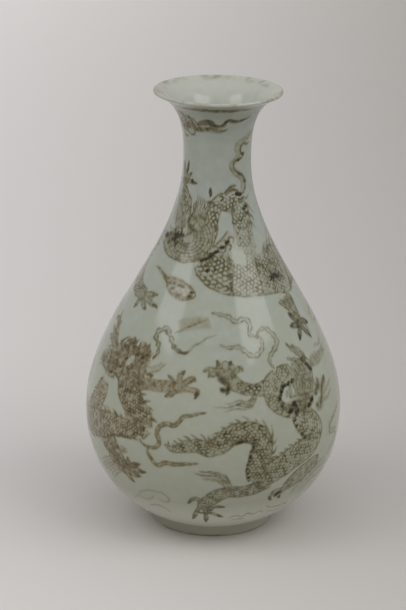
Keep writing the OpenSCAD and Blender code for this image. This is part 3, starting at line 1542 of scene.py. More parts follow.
        brush.fan(
            [(-36, 235), (-32, 238), (-34, 242), (-30, 246), (-31, 250)],
            [(-12, 229), (-9, 234), (-13, 239), (-9, 243), (-13, 246)],
            7, width=1.8, tone=0.56, taper=Taper.TAIL,
        )
        brush.fan(
            [(-31, 233), (-31, 238), (-27, 243), (-28, 249)],
            [(-14, 229), (-16, 234), (-12, 240), (-15, 246)],
            4, width=1.8, tone=0.5, taper=Taper.TAIL,
        )
        brush.lines([[(-32, 235), (-30.5, 239), (-29, 243), (-30, 246)]], width=2.6, tone=0.5)
        brush.wash([(-44, 226, 4), (-52, 231, 8), (-59, 238, 8), (-65, 246, 5)], 0.26, 0.08)
        brush.fan(
            [(-54, 223), (-60, 228), (-66, 236), (-72, 246)],
            [(-40, 226), (-43, 230), (-46, 234), (-48, 238)],
            9, width=1.8, tone=0.46, taper=Taper.TAIL,
        )
        brush.dabs([(-9.5, 253), (-9, 251.5)], (5, 2.2), 0.66, 80)

    def limbs(self, brush: Brush) -> None:
        """Paints the claws and the limbs that carry them.

        Args:
            brush: What it is painted with.
        """
        brush.body([
            (-42, 234, 2.5), (-46, 238.5, 4.4), (-50, 243, 5), (-56, 248, 4), (-62, 253, 2.4),
        ], pitch=2.5, tone=0.22, net=0.6)
        brush.claw([
            [(-62, 256), (-48, 257.5), (-33, 257.3)], [(-61, 257), (-51, 261), (-45, 263.5)],
            [(-62, 257), (-58, 264), (-54, 271.5)], [(-63, 257), (-67, 264), (-70, 271)],
        ], 3.6)
        brush.dabs([(-57, 264.5), (-44, 258)], (3.6, 2.6), 0.85, 60)
        brush.body([
            (57, 179, 8.5), (59.5, 174, 6.5), (61, 168, 4.8), (61, 162, 3.4),
        ], pitch=2.8, tone=0.3)
        brush.claw([
            [(60, 161), (57, 164.5), (54, 168.5)], [(60, 160), (55, 160), (50.5, 160.5)],
            [(60, 159), (57, 154.5), (55, 150)], [(61, 159), (64, 154), (67, 148)],
            [(62, 161), (66, 160), (71, 157)],
        ], 5.0, 0.8)
        brush.lines([
            [(57, 173), (62, 166), (66, 158), (69, 150)], [(52, 178), (57, 172), (60, 166)],
        ], width=1.6, tone=Tone.DARK)
        brush.body([(94, 188, 7), (102, 182.5, 5.6), (111, 179.5, 5), (120, 178, 4.2)], pitch=2.6)
        brush.claw([
            [(120, 178), (128, 180), (135, 181.5)], [(121, 177), (130, 175.5), (139, 173.5)],
            [(120, 176.5), (125, 172.5), (130, 169.5)], [(118, 177), (118, 172), (117, 168)],
        ], 4.8, 0.5)
        brush.curls([(106, 180.5, 5), (118, 178, 6), (132, 177, 5)], 22, 3.6, Tone.MID)


class FlyingDragon(Dragon):
    """The dragon on the right of the front, with a folded body and a raised coil."""

    def coils(self, brush: Brush) -> None:
        """Paints the body down from the neck, and the raised coil that runs out in the tail.

        Args:
            brush: What it is painted with.
        """
        brush.level = 0
        lower = brush.body([
            (42, 107, 7), (44, 101, 9.5), (48, 94, 10.5), (50.5, 87, 10.2), (48.5, 80, 9.6),
            (43.5, 76, 9.2), (37, 72, 9.2), (31, 67, 9.2), (25.5, 62.5, 8.5), (20, 57, 6),
        ], pitch=2.9, tone=0.07, net=0.6)
        brush.spikes(lower, -1, 4.2, 0.38, 0.86)
        brush.plates(lower, -1, 3.2, 0.04, 0.24)
        brush.level = 1
        coil = brush.body([
            (20.5, 60, 6.5), (20.5, 68, 8.4), (21, 77, 8.2), (22, 86, 7.8), (21, 93.5, 7.6),
            (16.5, 97.5, 7.4), (11, 97.5, 7.2), (6.5, 94, 6.8), (2.8, 89, 6.2), (-1.5, 86.5, 5.6),
            (-6, 88.3, 4.8), (-10, 88, 4.2), (-14, 85.5, 3.2), (-18, 84.5, 1.8), (-21, 87, 0.5),
        ], pitch=2.8, back=-1, spike=4.6, tone=0.2, net=0.76)
        brush.plates(coil, 1, 3.1, 0.0, 0.56)

    def head(self, brush: Brush) -> None:
        """Paints the bent neck and the head with its mane and horns.

        Args:
            brush: What it is painted with.
        """
        brush.level = 1
        brush.wash([(33, 132, 4), (38, 131.5, 4.5), (43, 131, 5)], 0.26, 0.16, wipes=True)
        brush.body([
            (41, 136.5, 2.4), (36, 134.5, 4.6), (32, 131.5, 6.2), (29, 127, 7), (28.2, 121, 5.8),
            (29.7, 115, 5.2), (33, 110.5, 4.4), (38, 107.5, 4.4),
        ], pitch=2.7, tone=0.14, net=0.58)
        brush.dabs([
            (40.5, 127.3), (38, 126.8), (36, 125.9), (34.6, 124.4), (33.4, 122.4), (32.3, 119.8),
            (32, 117.4), (33, 113),
        ], (3.6, 2.9), 1.0, 60)
        brush.wash([
            (46, 140, 4), (47.5, 134, 9), (48.5, 127, 11), (48, 121, 10), (46, 115, 9),
            (43, 109, 7),
        ], 0.4, 0.26)
        brush.fan(
            [(38.5, 138.5), (40, 134), (42.2, 129), (41, 124), (41.8, 119)],
            [(53.5, 141), (56.5, 134), (55, 126), (55.5, 119), (50, 110)],
            9, width=1.3, tone=0.62,
        )
        brush.wash([(39.5, 126, 1), (38.6, 121, 2.2), (38.5, 116, 2)], 0.34, 0.2)
        brush.dabs([(36.4, 119.8)], (5, 2.4), 0.4, 75)
        brush.wash([(31, 111.5, 3), (38, 109.5, 5.5), (45, 111, 6), (52, 112, 3.5)], 0.44, 0.2)
        brush.lines([
            [(37, 117.5), (45, 116.6), (52, 116.8)], [(40, 114), (46, 112.5), (52, 113)],
            [(51.8, 117), (51.5, 112), (48.5, 107)], [(47, 113), (46.5, 109), (44, 105)],
        ], width=1.8, tone=0.66)
        brush.dabs([
            (39.3, 112), (40, 110), (37, 108), (41, 106.5), (49, 108.5), (51, 111),
        ], (5.4, 4), 1.0, 40)
        brush.curls([(32, 111, 4), (38, 108, 5), (46, 107, 5)], 36, 3.6, 0.66, 1.2)
        brush.ribbons([
            [(42.5, 152), (45.5, 147.5), (49, 142.5), (52.5, 138.5)],
            [(46.5, 149.5), (50, 146), (53, 142), (54.5, 138)],
            [(41, 142.5), (45, 140.5), (49, 139)],
        ], 4.0, 0.5, Tone.WASH)
        brush.dabs([(51.5, 138), (53, 139), (53.5, 134), (55, 131.5)], (5.5, 3.2), 0.9, -35)
        brush.wash([(54, 133, 2), (60, 134.5, 4.5), (66, 135.5, 4), (75, 137, 2)], 0.4, 0.2)
        brush.ribbons([
            [(55, 135), (61, 138.5), (68, 137.5), (77, 140)],
            [(56, 131), (63, 132), (70, 134), (78, 136)],
            [(65, 141.5), (68, 143), (71, 141.5), (77, 144.5)],
        ], 2.8, 0.4, Tone.THIN)
        brush.lines([
            [(54.5, 112), (55.5, 116), (58, 119), (58.3, 124)],
            [(58.5, 111.5), (60, 115), (62, 118), (65.5, 122.5)],
            [(53, 106), (56, 104), (58.5, 108), (59, 112)],
        ], width=6.0, tone=0.66)
        brush.lines([
            [(55, 109.5), (60, 111), (66, 114), (71, 118)],
            [(53, 107), (59, 107), (65, 108), (70, 111)],
        ], width=3.4, tone=0.36)

    def limbs(self, brush: Brush) -> None:
        """Paints the fore claw and the two hind claws, with the tufts at the joints.

        Args:
            brush: What it is painted with.
        """
        brush.level = 0
        brush.body([
            (27, 126.5, 5), (22, 126, 4.2), (17, 126.5, 3.8), (13, 128.5, 4.2), (9, 132, 5),
            (6, 136.5, 5),
        ], pitch=2.5, tone=0.26, net=0.56)
        beads = [(16.5, 127.4), (18, 125.4), (19.6, 127.3), (20.8, 124.8), (22, 127)]
        brush.dabs(beads, (4.4, 3.6), 0.8, 40)
        brush.spots(beads, 0.6, (0.4, 0.8), 0.04)
        brush.claw([
            [(4.5, 137), (2.8, 140.5), (2.6, 143), (1.8, 145.6)],
            [(8, 138), (9.6, 140.5), (8.4, 143), (9.4, 145.4)],
            [(9, 136), (11.6, 139), (13.8, 140), (15, 138.4)],
            [(4.5, 138.6), (0.5, 139.8), (-3, 139.8), (-5, 138)],
            [(3, 137.5), (0, 137.5), (-2.7, 135.2)],
        ], 5.4, 0.5)
        brush.clear([(6, 140.6, 1), (6.1, 142.4, 1.6), (6.2, 144.2, 1)], 0.28)
        brush.ovals((6.1, 142.4), (1.9, 3.1), (1.0,), (0, 360), width=1.0, tone=0.56)
        brush.lines([
            [(1, 137.5), (3.5, 134.5), (8, 130)], [(7.5, 131.5), (6.8, 128), (6, 124)],
            [(3, 128.7), (5, 127), (7, 128)],
        ], width=3.8, tone=0.95)
        brush.lines([
            [(20, 124), (18, 120.5), (15, 119), (12.3, 120), (8.3, 118.4), (5, 118)],
            [(19.5, 120.5), (16, 117.2), (13, 118.2), (9.7, 117), (7, 117)],
            [(20.6, 122), (18.4, 116.6), (15, 115.5), (12.3, 116.6), (7.7, 115.5), (0.5, 115.8)],
            [(18.6, 115.4), (14.5, 114), (11, 114.2), (5.5, 113)],
        ], width=1.7, tone=0.56, taper=Taper.TAIL)
        brush.body([
            (27, 57, 5.5), (20, 53, 5.0), (14, 51.3, 4.8), (8, 51.5, 4.8), (3, 49, 5.2),
            (-0.5, 44.5, 5.4), (-2.8, 39, 5.5), (-3.3, 34, 4.5),
        ], pitch=2.5, tone=0.22, net=0.62)
        brush.claw([
            [(-5, 41), (-7.5, 45.5), (-10, 44), (-12, 39.5)], [(-6, 37), (-8, 31), (-11.5, 22.5)],
            [(-3.3, 35), (-3, 28), (-3, 19)], [(-2, 33), (2, 29.5), (7, 26)],
            [(-1, 37.5), (3, 37.5), (7, 37.5)],
        ], 3.8, 0.6)
        brush.lines([
            [(-8, 31), (-3, 31), (2, 31.5)], [(1, 37), (4, 38), (6.5, 37)],
        ], width=2.8, tone=0.8)
        brush.ribbons([
            [(9.5, 55), (8, 60), (5.5, 65.5), (0.5, 68), (-6, 69)],
            [(8, 55.5), (6, 61), (2.5, 65), (-2.5, 66), (-8, 67)],
            [(6.5, 55), (4.5, 60), (1, 62.5), (-4, 63.5)],
        ], 2.6, 0.6, 0.12)
        brush.body([
            (57, 63.5, 4), (51, 61, 6.4), (45.5, 57, 6.8), (41, 53, 5.6), (37.5, 49, 4.2),
        ], pitch=2.6, tone=0.2, net=0.52)
        brush.claw([
            [(36, 48), (31, 47), (30, 43), (31.5, 39)], [(36.5, 47), (35.5, 43), (37, 39)],
        ], 3.8, 0.6)
        brush.dabs([(34.5, 45.3), (33.7, 44)], (5.4, 4.2), 1.0, 60)
        brush.wash([
            (66, 58, 2), (60, 57, 5), (53, 54.5, 6.5), (47, 50, 5), (43, 44, 2),
        ], Tone.THIN, Tone.TRACE)
        brush.ribbons([
            [(64, 62), (57, 60), (51, 55), (47, 48), (44, 41)],
            [(66, 56), (59, 54), (53, 50), (49, 43)], [(67, 50), (60, 49), (55, 45), (52, 39)],
            [(58, 64), (54, 62), (50, 58)],
        ], 2.8, Tone.MID, Tone.TRACE)


class StandingDragon(Dragon):
    """The dragon on the left of the front, in a browner pigment, with its head thrown back."""

    def coils(self, brush: Brush) -> None:
        """Paints the coil behind, then the body from the neck round to the haunch.

        Args:
            brush: What it is painted with.
        """
        brush.level = 0
        brush.body([
            (-61, 118, 5), (-62, 112, 7), (-64, 104, 8), (-67, 96, 8.5), (-71, 89, 8.5),
        ], pitch=2.7, back=-1, tone=0.16, net=0.6)
        brush.level = 1
        haunch = brush.body([
            (-31, 98, 7), (-34.5, 93, 6.4), (-41, 92, 6.6), (-48, 91.5, 7.6), (-55, 89, 9.4),
            (-62, 86, 10), (-70, 83, 10), (-78, 82.5, 9), (-85, 84, 7.8), (-90.5, 89, 6.6),
            (-93, 96, 5.4), (-91.5, 103.5, 4.2), (-88, 110, 3), (-86.5, 116, 1.8), (-88, 121, 0.6),
        ], pitch=2.7, back=-1, spike=6, tone=0.15, net=0.66)
        brush.plates(haunch, 1, 2.8, 0.06, 0.3)
        brush.fan(
            [(-50, 90), (-50, 86), (-51.5, 82)], [(-78, 86), (-76, 80), (-73, 75)],
            9, width=1.3, tone=0.5,
        )
        brush.dabs([(-35, 91), (-33, 93), (-31.5, 95.5), (-37, 89.8)], (3.4, 1.8), 0.85, 70)
        brush.body([
            (-46, 127, 9), (-44, 121, 9.5), (-41, 114, 9.5), (-36.5, 107.5, 9), (-32.5, 101.5, 8),
            (-30.5, 95.5, 5.4),
        ], pitch=2.6, back=1, spike=6, tone=0.21, net=0.7)
        brush.curls([(-46, 124, 9), (-43, 116, 9), (-37, 108, 8), (-32, 101, 6)], 30, 3.4, 0.6, 1.0)
        brush.dabs([
            (-43.5, 118.3), (-45.5, 116.5), (-41.5, 117.5), (-33, 113.5), (-37.5, 105),
        ], (2.8, 1.8), 0.85, 20)

    def head(self, brush: Brush) -> None:
        """Paints the head: tossed mane, brow, snout, antlers and beard.

        Args:
            brush: What it is painted with.
        """
        brush.level = 2
        brush.wash([
            (-74, 130, 3), (-67, 131, 8), (-60, 132, 11), (-54, 135.5, 14), (-49, 141, 11),
            (-46, 147, 6),
        ], 0.44, 0.26)
        brush.wash([
            (-40, 151, 3), (-40.5, 145, 7.5), (-40.5, 138, 8), (-42.5, 129, 9), (-44.5, 121, 8),
        ], 0.44, 0.3)
        brush.curls([
            (-63, 129, 9), (-57, 133, 14), (-51, 140, 12), (-45, 147, 6),
        ], 130, 5.0, 0.6, 1.5)
        brush.curls([
            (-41, 150, 4), (-40, 143, 7), (-40, 135, 7), (-43, 126, 9),
        ], 90, 4.2, 0.58, 1.3)
        brush.fan(
            [(-55, 126), (-62, 124.5), (-68, 126), (-75, 124)],
            [(-54, 138), (-61, 141), (-67, 140), (-73, 137)],
            6, width=3.0, tone=0.5, taper=Taper.TAIL,
        )
        brush.fan(
            [(-57, 143), (-58.5, 146), (-56, 149.5), (-53, 151.5)],
            [(-37.5, 142), (-36, 146), (-37.5, 149), (-38, 152)],
            7, width=3.0, tone=0.6, taper=Taper.TAIL,
        )
        brush.clear([(-48.8, 134, 1.0), (-46.9, 137.3, 2.6), (-45, 141, 1.0)], 0.12)
        brush.lines([
            [(-50, 141.5), (-47, 142.8), (-44, 141.5), (-43.3, 137), (-45, 133), (-49.5, 132.5)],
            [(-42, 143), (-38.5, 144), (-36.5, 140), (-36.5, 135)],
            [(-60, 131), (-55, 131.5), (-50.5, 131)], [(-59, 126), (-54, 125), (-50, 122)],
        ], width=2.0, tone=0.7)
        brush.dabs([
            (-50, 138), (-56.5, 134), (-52.5, 131.3), (-43.8, 142), (-39.5, 141.5), (-37.5, 144),
            (-58.5, 125), (-49, 148.5),
        ], (3.4, 2.0), 0.9, 20)
        brush.dabs([(-69.5, 128.5), (-33.5, 132), (-31.8, 131.5)], (3.8, 2.2), 0.75, 20)
        brush.ribbons([
            [(-60, 141), (-65, 145.5), (-70, 148), (-77, 151)],
            [(-62, 143), (-67, 149), (-72, 154), (-75, 162)], [(-64, 140), (-70, 144), (-75, 145)],
            [(-68, 155), (-74, 156), (-80, 156)],
        ], 5.4, 0.56, Tone.WASH)
        brush.lines([
            [(-36, 132), (-31, 134.5), (-28, 137), (-25, 141.5)],
            [(-36, 137), (-32, 137), (-29, 139), (-27, 142)], [(-36, 143), (-33, 145), (-30, 144)],
        ], width=2.4, tone=0.36)

    def limbs(self, brush: Brush) -> None:
        """Paints the outstretched fore claw and the hind claw.

        Args:
            brush: What it is painted with.
        """
        brush.level = 0
        brush.body([
            (-41, 126, 5.5), (-35, 126, 4.6), (-29, 126.3, 4.2), (-24, 126.5, 4.2), (-19, 127, 4.4),
            (-14, 127.3, 3.2),
        ], pitch=2.3, tone=0.28, net=0.5, sides=())
        brush.curls([(-37, 126, 4), (-27, 126.5, 4), (-17, 127, 4)], 44, 3.2, 0.46, 1.2)
        brush.claw([
            [(-16, 130), (-16.6, 133.5), (-15.6, 136.5), (-14.6, 138.5)],
            [(-14, 130), (-11.6, 133), (-9.6, 133.8), (-8.8, 131.6)],
            [(-14, 127.5), (-10.5, 126.6), (-7.2, 125), (-8.6, 121.2)],
            [(-17.5, 125.5), (-19.5, 122.5), (-23, 120.5)],
        ], 5.0, 0.5)
        brush.clear([(-18.6, 127.6, 1), (-17, 127.7, 1.7), (-15.4, 127.8, 1)], 0.34)
        brush.ovals((-17, 127.7), (2.1, 2.7), (1.0,), (0, 360), width=1.0, tone=0.56)
        brush.lines([
            [(-23.3, 134.3), (-21, 132.5), (-18, 129.5)], [(-12.5, 130), (-11, 132), (-9.5, 133)],
        ], width=2.6, tone=0.7)
        brush.dabs([(-15, 137.4), (-8, 124.4)], (3.2, 2.4), 0.6, 60)
        brush.body([
            (-60, 84, 7.5), (-54, 78.5, 8.5), (-50, 71.5, 8), (-47.5, 65.5, 7.5), (-44.5, 60, 6),
        ], pitch=2.3, tone=0.24, net=0.58)
        brush.curls([(-52, 76, 7), (-48, 67, 7), (-43, 60, 6)], 40, 4.0, 0.62, 1.2)
        brush.claw([
            [(-44, 63), (-41, 66.5), (-40.5, 71)], [(-43, 62.5), (-38, 65), (-34, 68)],
            [(-43, 61), (-37, 61.5), (-31, 62.5)], [(-44, 59), (-39, 57.5), (-34.5, 57)],
            [(-46, 59), (-42, 54.5), (-39.5, 50)],
        ], 5.6, 0.6)
        brush.wash([
            (-47, 66, 3), (-53, 61, 5), (-59, 55.5, 5), (-65, 51, 2.5),
        ], Tone.THIN, Tone.TRACE)
        brush.fan(
            [(-48, 68), (-55, 64), (-61, 59), (-67, 55)],
            [(-46, 58), (-50, 53), (-54, 49), (-57, 44.5)],
            7, width=1.8, tone=Tone.MID, taper=Taper.TAIL,
        )
        brush.lines([
            [(-45, 78), (-43, 75.5), (-41, 76)], [(-47, 76), (-44, 73.5), (-40.5, 74.5)],
        ], width=3.0, tone=Tone.MID)


class Streamers(Figure):
    """The pale double-lined whiskers and ribbons that float between the dragons."""

    def draw(self, brush: Brush) -> None:
        """Paints the ribbons of the shoulder, the front and the neck.

        Args:
            brush: What it is painted with.
        """
        brush.ribbons([
            [(-2.5, 175), (3, 174), (8, 173), (12, 170), (15, 169.5), (18, 171), (21, 170),
             (22.5, 166), (21, 161.5), (24, 159), (27, 158)],
            [(25, 160), (28, 163), (31, 164), (34.5, 161), (37, 157), (37, 152), (34, 149),
             (31, 146), (30, 142), (32, 137.5)],
            [(3.5, 155.5), (9, 153.5), (14, 153.5), (17, 151), (19.5, 148), (22.5, 147.5),
             (25.5, 149.5), (28, 153.5), (28, 157.5), (25, 159.5)],
            [(77, 98), (70, 91), (64.5, 86), (66, 81), (72, 78), (74, 73), (70, 67), (66, 62.5)],
        ], 4.6, 0.54, 0.02)
        brush.ribbon([
            (-33, 142), (-31, 147), (-32, 152), (-35, 156), (-35.5, 159), (-32.5, 161.5),
            (-29, 163), (-27, 160), (-25, 156.5), (-23, 153), (-20, 150.3), (-17, 149),
            (-14, 150.5),
        ], 5.2, 0.66, 0.16, 0.3)
        brush.line([
            (-24, 154), (-20, 150), (-16.5, 149), (-13.5, 151.5), (-11, 154.5), (-8, 156),
            (-4, 159.5), (1, 161.5),
        ], width=2.8, tone=Tone.MID, taper=Taper.TAIL)
        brush.wash([
            (76, 293, 0.6), (66, 291, 1.5), (56, 288.3, 1.9), (46, 286.5, 1.9), (37, 283.8, 1.9),
            (36, 280.5, 1.9), (41, 277.8, 2), (38, 275, 2), (30, 272.8, 2), (25.5, 270, 2),
            (29, 266.8, 2.2), (37, 263.6, 2.4), (45, 260.3, 2.6), (48.5, 256.5, 2.8),
            (45, 252.5, 2.4), (38, 250.5, 1.4),
        ], 0.3, 0.2)
        brush.lines([
            [(76, 294.5), (64, 293), (52, 290.5), (42, 288.5), (33, 285.5), (31, 281), (35, 277.5),
             (31, 275), (23.5, 272.5), (21.5, 269), (26, 266), (34, 262.5), (41, 259.5),
             (43.5, 256.5), (40, 253.5)],
            [(70, 290.5), (60, 289), (52, 287.3)],
        ], width=1.1, tone=Tone.MID)
        brush.lines([
            [(66, 285), (57, 284.3), (48, 285), (41, 283), (41, 280), (47, 278.3), (51, 277)],
            [(52, 279), (48, 276.3), (40, 274.5), (33, 273.5), (28, 271.5), (28, 269.3),
             (33, 266.8), (41, 264), (49, 261), (53, 257), (51, 253), (44, 250.5), (36, 250)],
        ], width=2.0, tone=0.72)
        brush.dabs([(48, 278.3), (36, 273.8), (52, 258)], (3.4, 2.0), 0.85, 10)
        brush.lines([
            [(12, 250.5), (18, 254), (26, 256), (34, 255.8)],
            [(14, 249.5), (21, 252.5), (29, 253.5), (37, 252)],
        ], width=2.2, tone=0.72)
        brush.dabs([(37, 249.8), (33, 250)], (4.4, 3.0), Tone.INK)


class Flames(Figure):
    """The solid olive flames and the flaming pearl."""

    def draw(self, brush: Brush) -> None:
        """Paints the flame below the middle, the brown smear and the pearl with its trailing flame.

        Args:
            brush: What it is painted with.
        """
        brush.ribbons([
            [(-3, 112, 0.4), (-8, 110.3, 0.9), (-13, 108.3, 1.3), (-15, 104, 1.8),
             (-17.5, 101.5, 2.2), (-21, 101.8, 2.4), (-24, 99.5, 2.2), (-25, 95, 2.0),
             (-24, 90, 2.2), (-24, 86, 2.2), (-27, 83, 2.0), (-31, 84, 1.7), (-34, 88, 0.8)],
            [(-29, 83, 0.8), (-29.5, 79, 2.2), (-28, 75, 2.6), (-26.5, 72, 2.2), (-24, 70.5, 2.0),
             (-22, 72, 2.2), (-17, 73, 1.4), (-12, 74, 0.8), (-6, 75, 0.3)],
            [(79, 54, 0.4), (83, 58.5, 1.4), (87, 60, 2.2), (91, 58, 2.2), (94.5, 60.5, 1.8),
             (96, 65, 1.2), (95, 70, 0.4)],
        ], 3.8, 0.62, 0.32, 0.06)
        brush.wash([
            (-22, 165.6, 4.6), (-17, 167, 4.8), (-12, 168, 4.8), (-7, 168.8, 4.6),
            (-2.5, 169.4, 4.2),
        ], 0.26, 0.14)
        brush.line([
            (-24, 160.5), (-18, 164.5), (-12, 167.3), (-7, 169.8), (-4, 172),
        ], width=2.4, tone=0.5)
        brush.wash([
            (-62, 197.5, 0.4), (-53, 195.3, 0.8), (-46, 193, 1.0), (-41.5, 191.2, 1.4),
            (-38, 190, 3.8), (-33, 188.8, 5.2), (-26, 187.4, 5.5), (-19, 186.5, 4.6),
            (-16, 186.3, 2.6),
        ], 0.3, 0.46)
        brush.lines([
            [(-60, 197.5), (-50, 195.2), (-44, 193), (-41, 192.6), (-37, 194), (-30, 193.2),
             (-22, 191), (-16.5, 188.8)],
            [(-15, 188), (-15, 184.5), (-20, 182), (-27, 182.2), (-34, 184.3), (-39, 187.3),
             (-41.5, 190.2), (-47, 192.3)],
        ], width=2.3, tone=0.62)
        brush.dabs([(-45.5, 193.3)], (4.6, 2.6), 0.7, -35)
        brush.dabs([
            (-38, 190), (-33, 190.8), (-28.5, 190), (-25.5, 189.3), (-34, 187.3), (-28, 184.3),
            (-19, 184), (-17, 187),
        ], (3.4, 1.9), 0.85, 10)
        brush.spots([(-30, 187.6), (-24.5, 187), (-20, 187.5), (-23, 184.6)], 1.5, (0.7, 1.1), 0.1)


class NeckScroll(Figure):
    """The band of scrolling cloud under the lip."""

    def draw(self, brush: Brush) -> None:
        """Paints the dark crest of the cloud, the bands that trail from it and the curls behind.

        Args:
            brush: What it is painted with.
        """
        brush.wash([
            (-76, 297, 4), (-66, 298, 6.5), (-54, 298.5, 7), (-42, 298.5, 5), (-30, 298, 3.6),
            (-18, 298.5, 2.4),
        ], Tone.WASH, Tone.TRACE)
        brush.wash([
            (-42, 296.5, 0.6), (-34, 296.5, 1.8), (-26, 296.3, 1.9), (-18, 296.7, 1.7),
            (-12, 297.7, 1.6), (-5, 296.2, 1.5), (2, 295.8, 1.3), (8, 296.5, 0.9), (12, 298, 0.4),
        ], 0.5, 0.4)
        brush.wash([
            (-34, 300, 0.8), (-27, 301.7, 1.9), (-20, 302.4, 2.4), (-14, 302.4, 2.5),
            (-8, 301.2, 1.5), (-3, 300, 1), (2, 300, 0.9), (6, 301.6, 1), (10, 303.5, 1.1),
            (14, 304.2, 1), (22, 303.2, 0.9), (32, 303.4, 0.7), (40, 304.8, 0.4), (46, 306, 0.2),
        ], 0.82, 0.6)
        brush.lines([
            [(-30, 300.5), (-23, 303.5), (-15, 304.2), (-9, 302.8), (-5, 300.8)],
            [(-27, 299.8), (-20, 301.3), (-13, 301), (-7, 300)],
            [(-40, 299.5), (-36, 297), (-33, 294.8)], [(-31, 298.5), (-28.5, 296), (-26, 294.6)],
            [(-20, 296), (-14, 298.4), (-9, 297.3)],
        ], width=1.7, tone=0.85)
        brush.lines([
            [(10, 302.5), (16, 302.3), (24, 301.7), (33, 302.4)],
            [(-16, 295.2), (-9, 295), (-2, 294.5), (5, 295.3), (11, 297.5)],
            [(-16, 299.8), (-8, 299), (-1, 298.2), (6, 299.3), (10, 301)],
            [(8, 302.5), (12, 304.8), (18, 304.6), (26, 304), (36, 305.8)],
        ], width=1.1, tone=Tone.MID)
        brush.lines([
            [(-72, 305), (-64, 308), (-56, 306), (-54, 302.5), (-60, 300.5), (-66, 302)],
            [(-56, 302), (-50, 305.5), (-43, 304), (-41, 300.8), (-46, 299), (-51, 300.3)],
            [(-74, 298.5), (-66, 294.5), (-58, 294), (-54, 296.5), (-58, 298.7)],
            [(-56, 293.5), (-49, 291), (-42, 292.3), (-40, 295.5), (-44, 297.5), (-48, 296)],
            [(-70, 292), (-62, 289.5), (-55, 290.5)], [(-42, 303.5), (-38, 303.5), (-34, 301)],
            [(-78, 302), (-70, 299.8), (-62, 297.5), (-54, 295)],
        ], width=1.7, tone=Tone.DARK)
        brush.lines([
            [(-58, 313.3), (-26, 313.3), (8, 313.3), (48, 313.3)],
            [(-46, 312.3), (-12, 312.2), (36, 312.3)],
        ], width=2.9, tone=0.74)
        brush.curls([
            (-76, 300, 5), (-64, 301, 7), (-52, 299.5, 7), (-43, 296.5, 4),
        ], 46, 4.2, 0.66, 1.3)


class Clouds(Figure):
    """The soft cloud scrolls above the foot."""

    def draw(self, brush: Brush) -> None:
        """Paints the clouds.

        Args:
            brush: What it is painted with.
        """
        brush.lines([
            [(-40, 39), (-37.5, 43), (-34, 45.5), (-29, 47), (-24.5, 46), (-22, 43.5), (-21.5, 41),
             (-23.5, 38.3), (-26.5, 38.5), (-26.5, 41)],
            [(-46, 34), (-41, 37.5), (-37, 36.5), (-33, 38), (-30, 42)],
            [(-36, 30), (-31, 33), (-26, 31), (-24, 27)], [(30, 34), (35, 31), (41, 30), (46, 33)],
            [(33, 28), (38, 25.5), (44, 26), (47, 29), (43, 31), (38, 29)],
            [(10, 24), (14, 27.5), (18, 25), (21, 28.5), (25, 26.5), (28, 29), (31, 26)],
            [(12, 21), (17, 22.5), (22, 21.5)],
            [(74, 30), (79, 34), (84, 32), (88, 35), (93, 32.5), (98, 34)],
            [(80, 27), (86, 28.5), (92, 27)],
        ], width=1.6, tone=0.38)
        brush.lines([
            [(80, 156), (82, 161), (86, 162.5), (88, 159.5), (86.5, 157)],
            [(86, 162), (89, 166), (93, 165), (94, 161), (91.5, 159.5)],
            [(93, 162.5), (97, 162.5), (98, 158.5), (95.5, 156.5)],
            [(80, 156), (85, 154), (91, 155), (96, 152.5)],
        ], width=1.8, tone=0.5)


@dataclass(frozen=True)
class Softbox:
    """A soft studio lamp that faces the vase."""

    name: str
    azimuth: float
    elevation: float
    distance: float
    size: tuple[float, float]
    brightness: float
    mirrored: bool = True

    def build(self, target: Vector) -> None:
        """Makes the lamp.

        Args:
            target: What it faces.
        """
        a, e = math.radians(self.azimuth), math.radians(self.elevation)
        back = Vector((math.sin(a) * math.cos(e), -math.cos(a) * math.cos(e), math.sin(e)))
        lamp = bpy.data.lights.new(self.name, "AREA")
        lamp.shape = "RECTANGLE"
        lamp.size, lamp.size_y = self.size
        lamp.energy = self.brightness * math.pi * self.size[0] * self.size[1]
        thing = bpy.data.objects.new(self.name, lamp)
        aim = (-back).to_track_quat("-Z", "Y").to_matrix().to_4x4()
        thing.matrix_world = Matrix.Translation(target + back * self.distance) @ aim
        thing.visible_glossy = self.mirrored
        bpy.context.scene.collection.objects.link(thing)


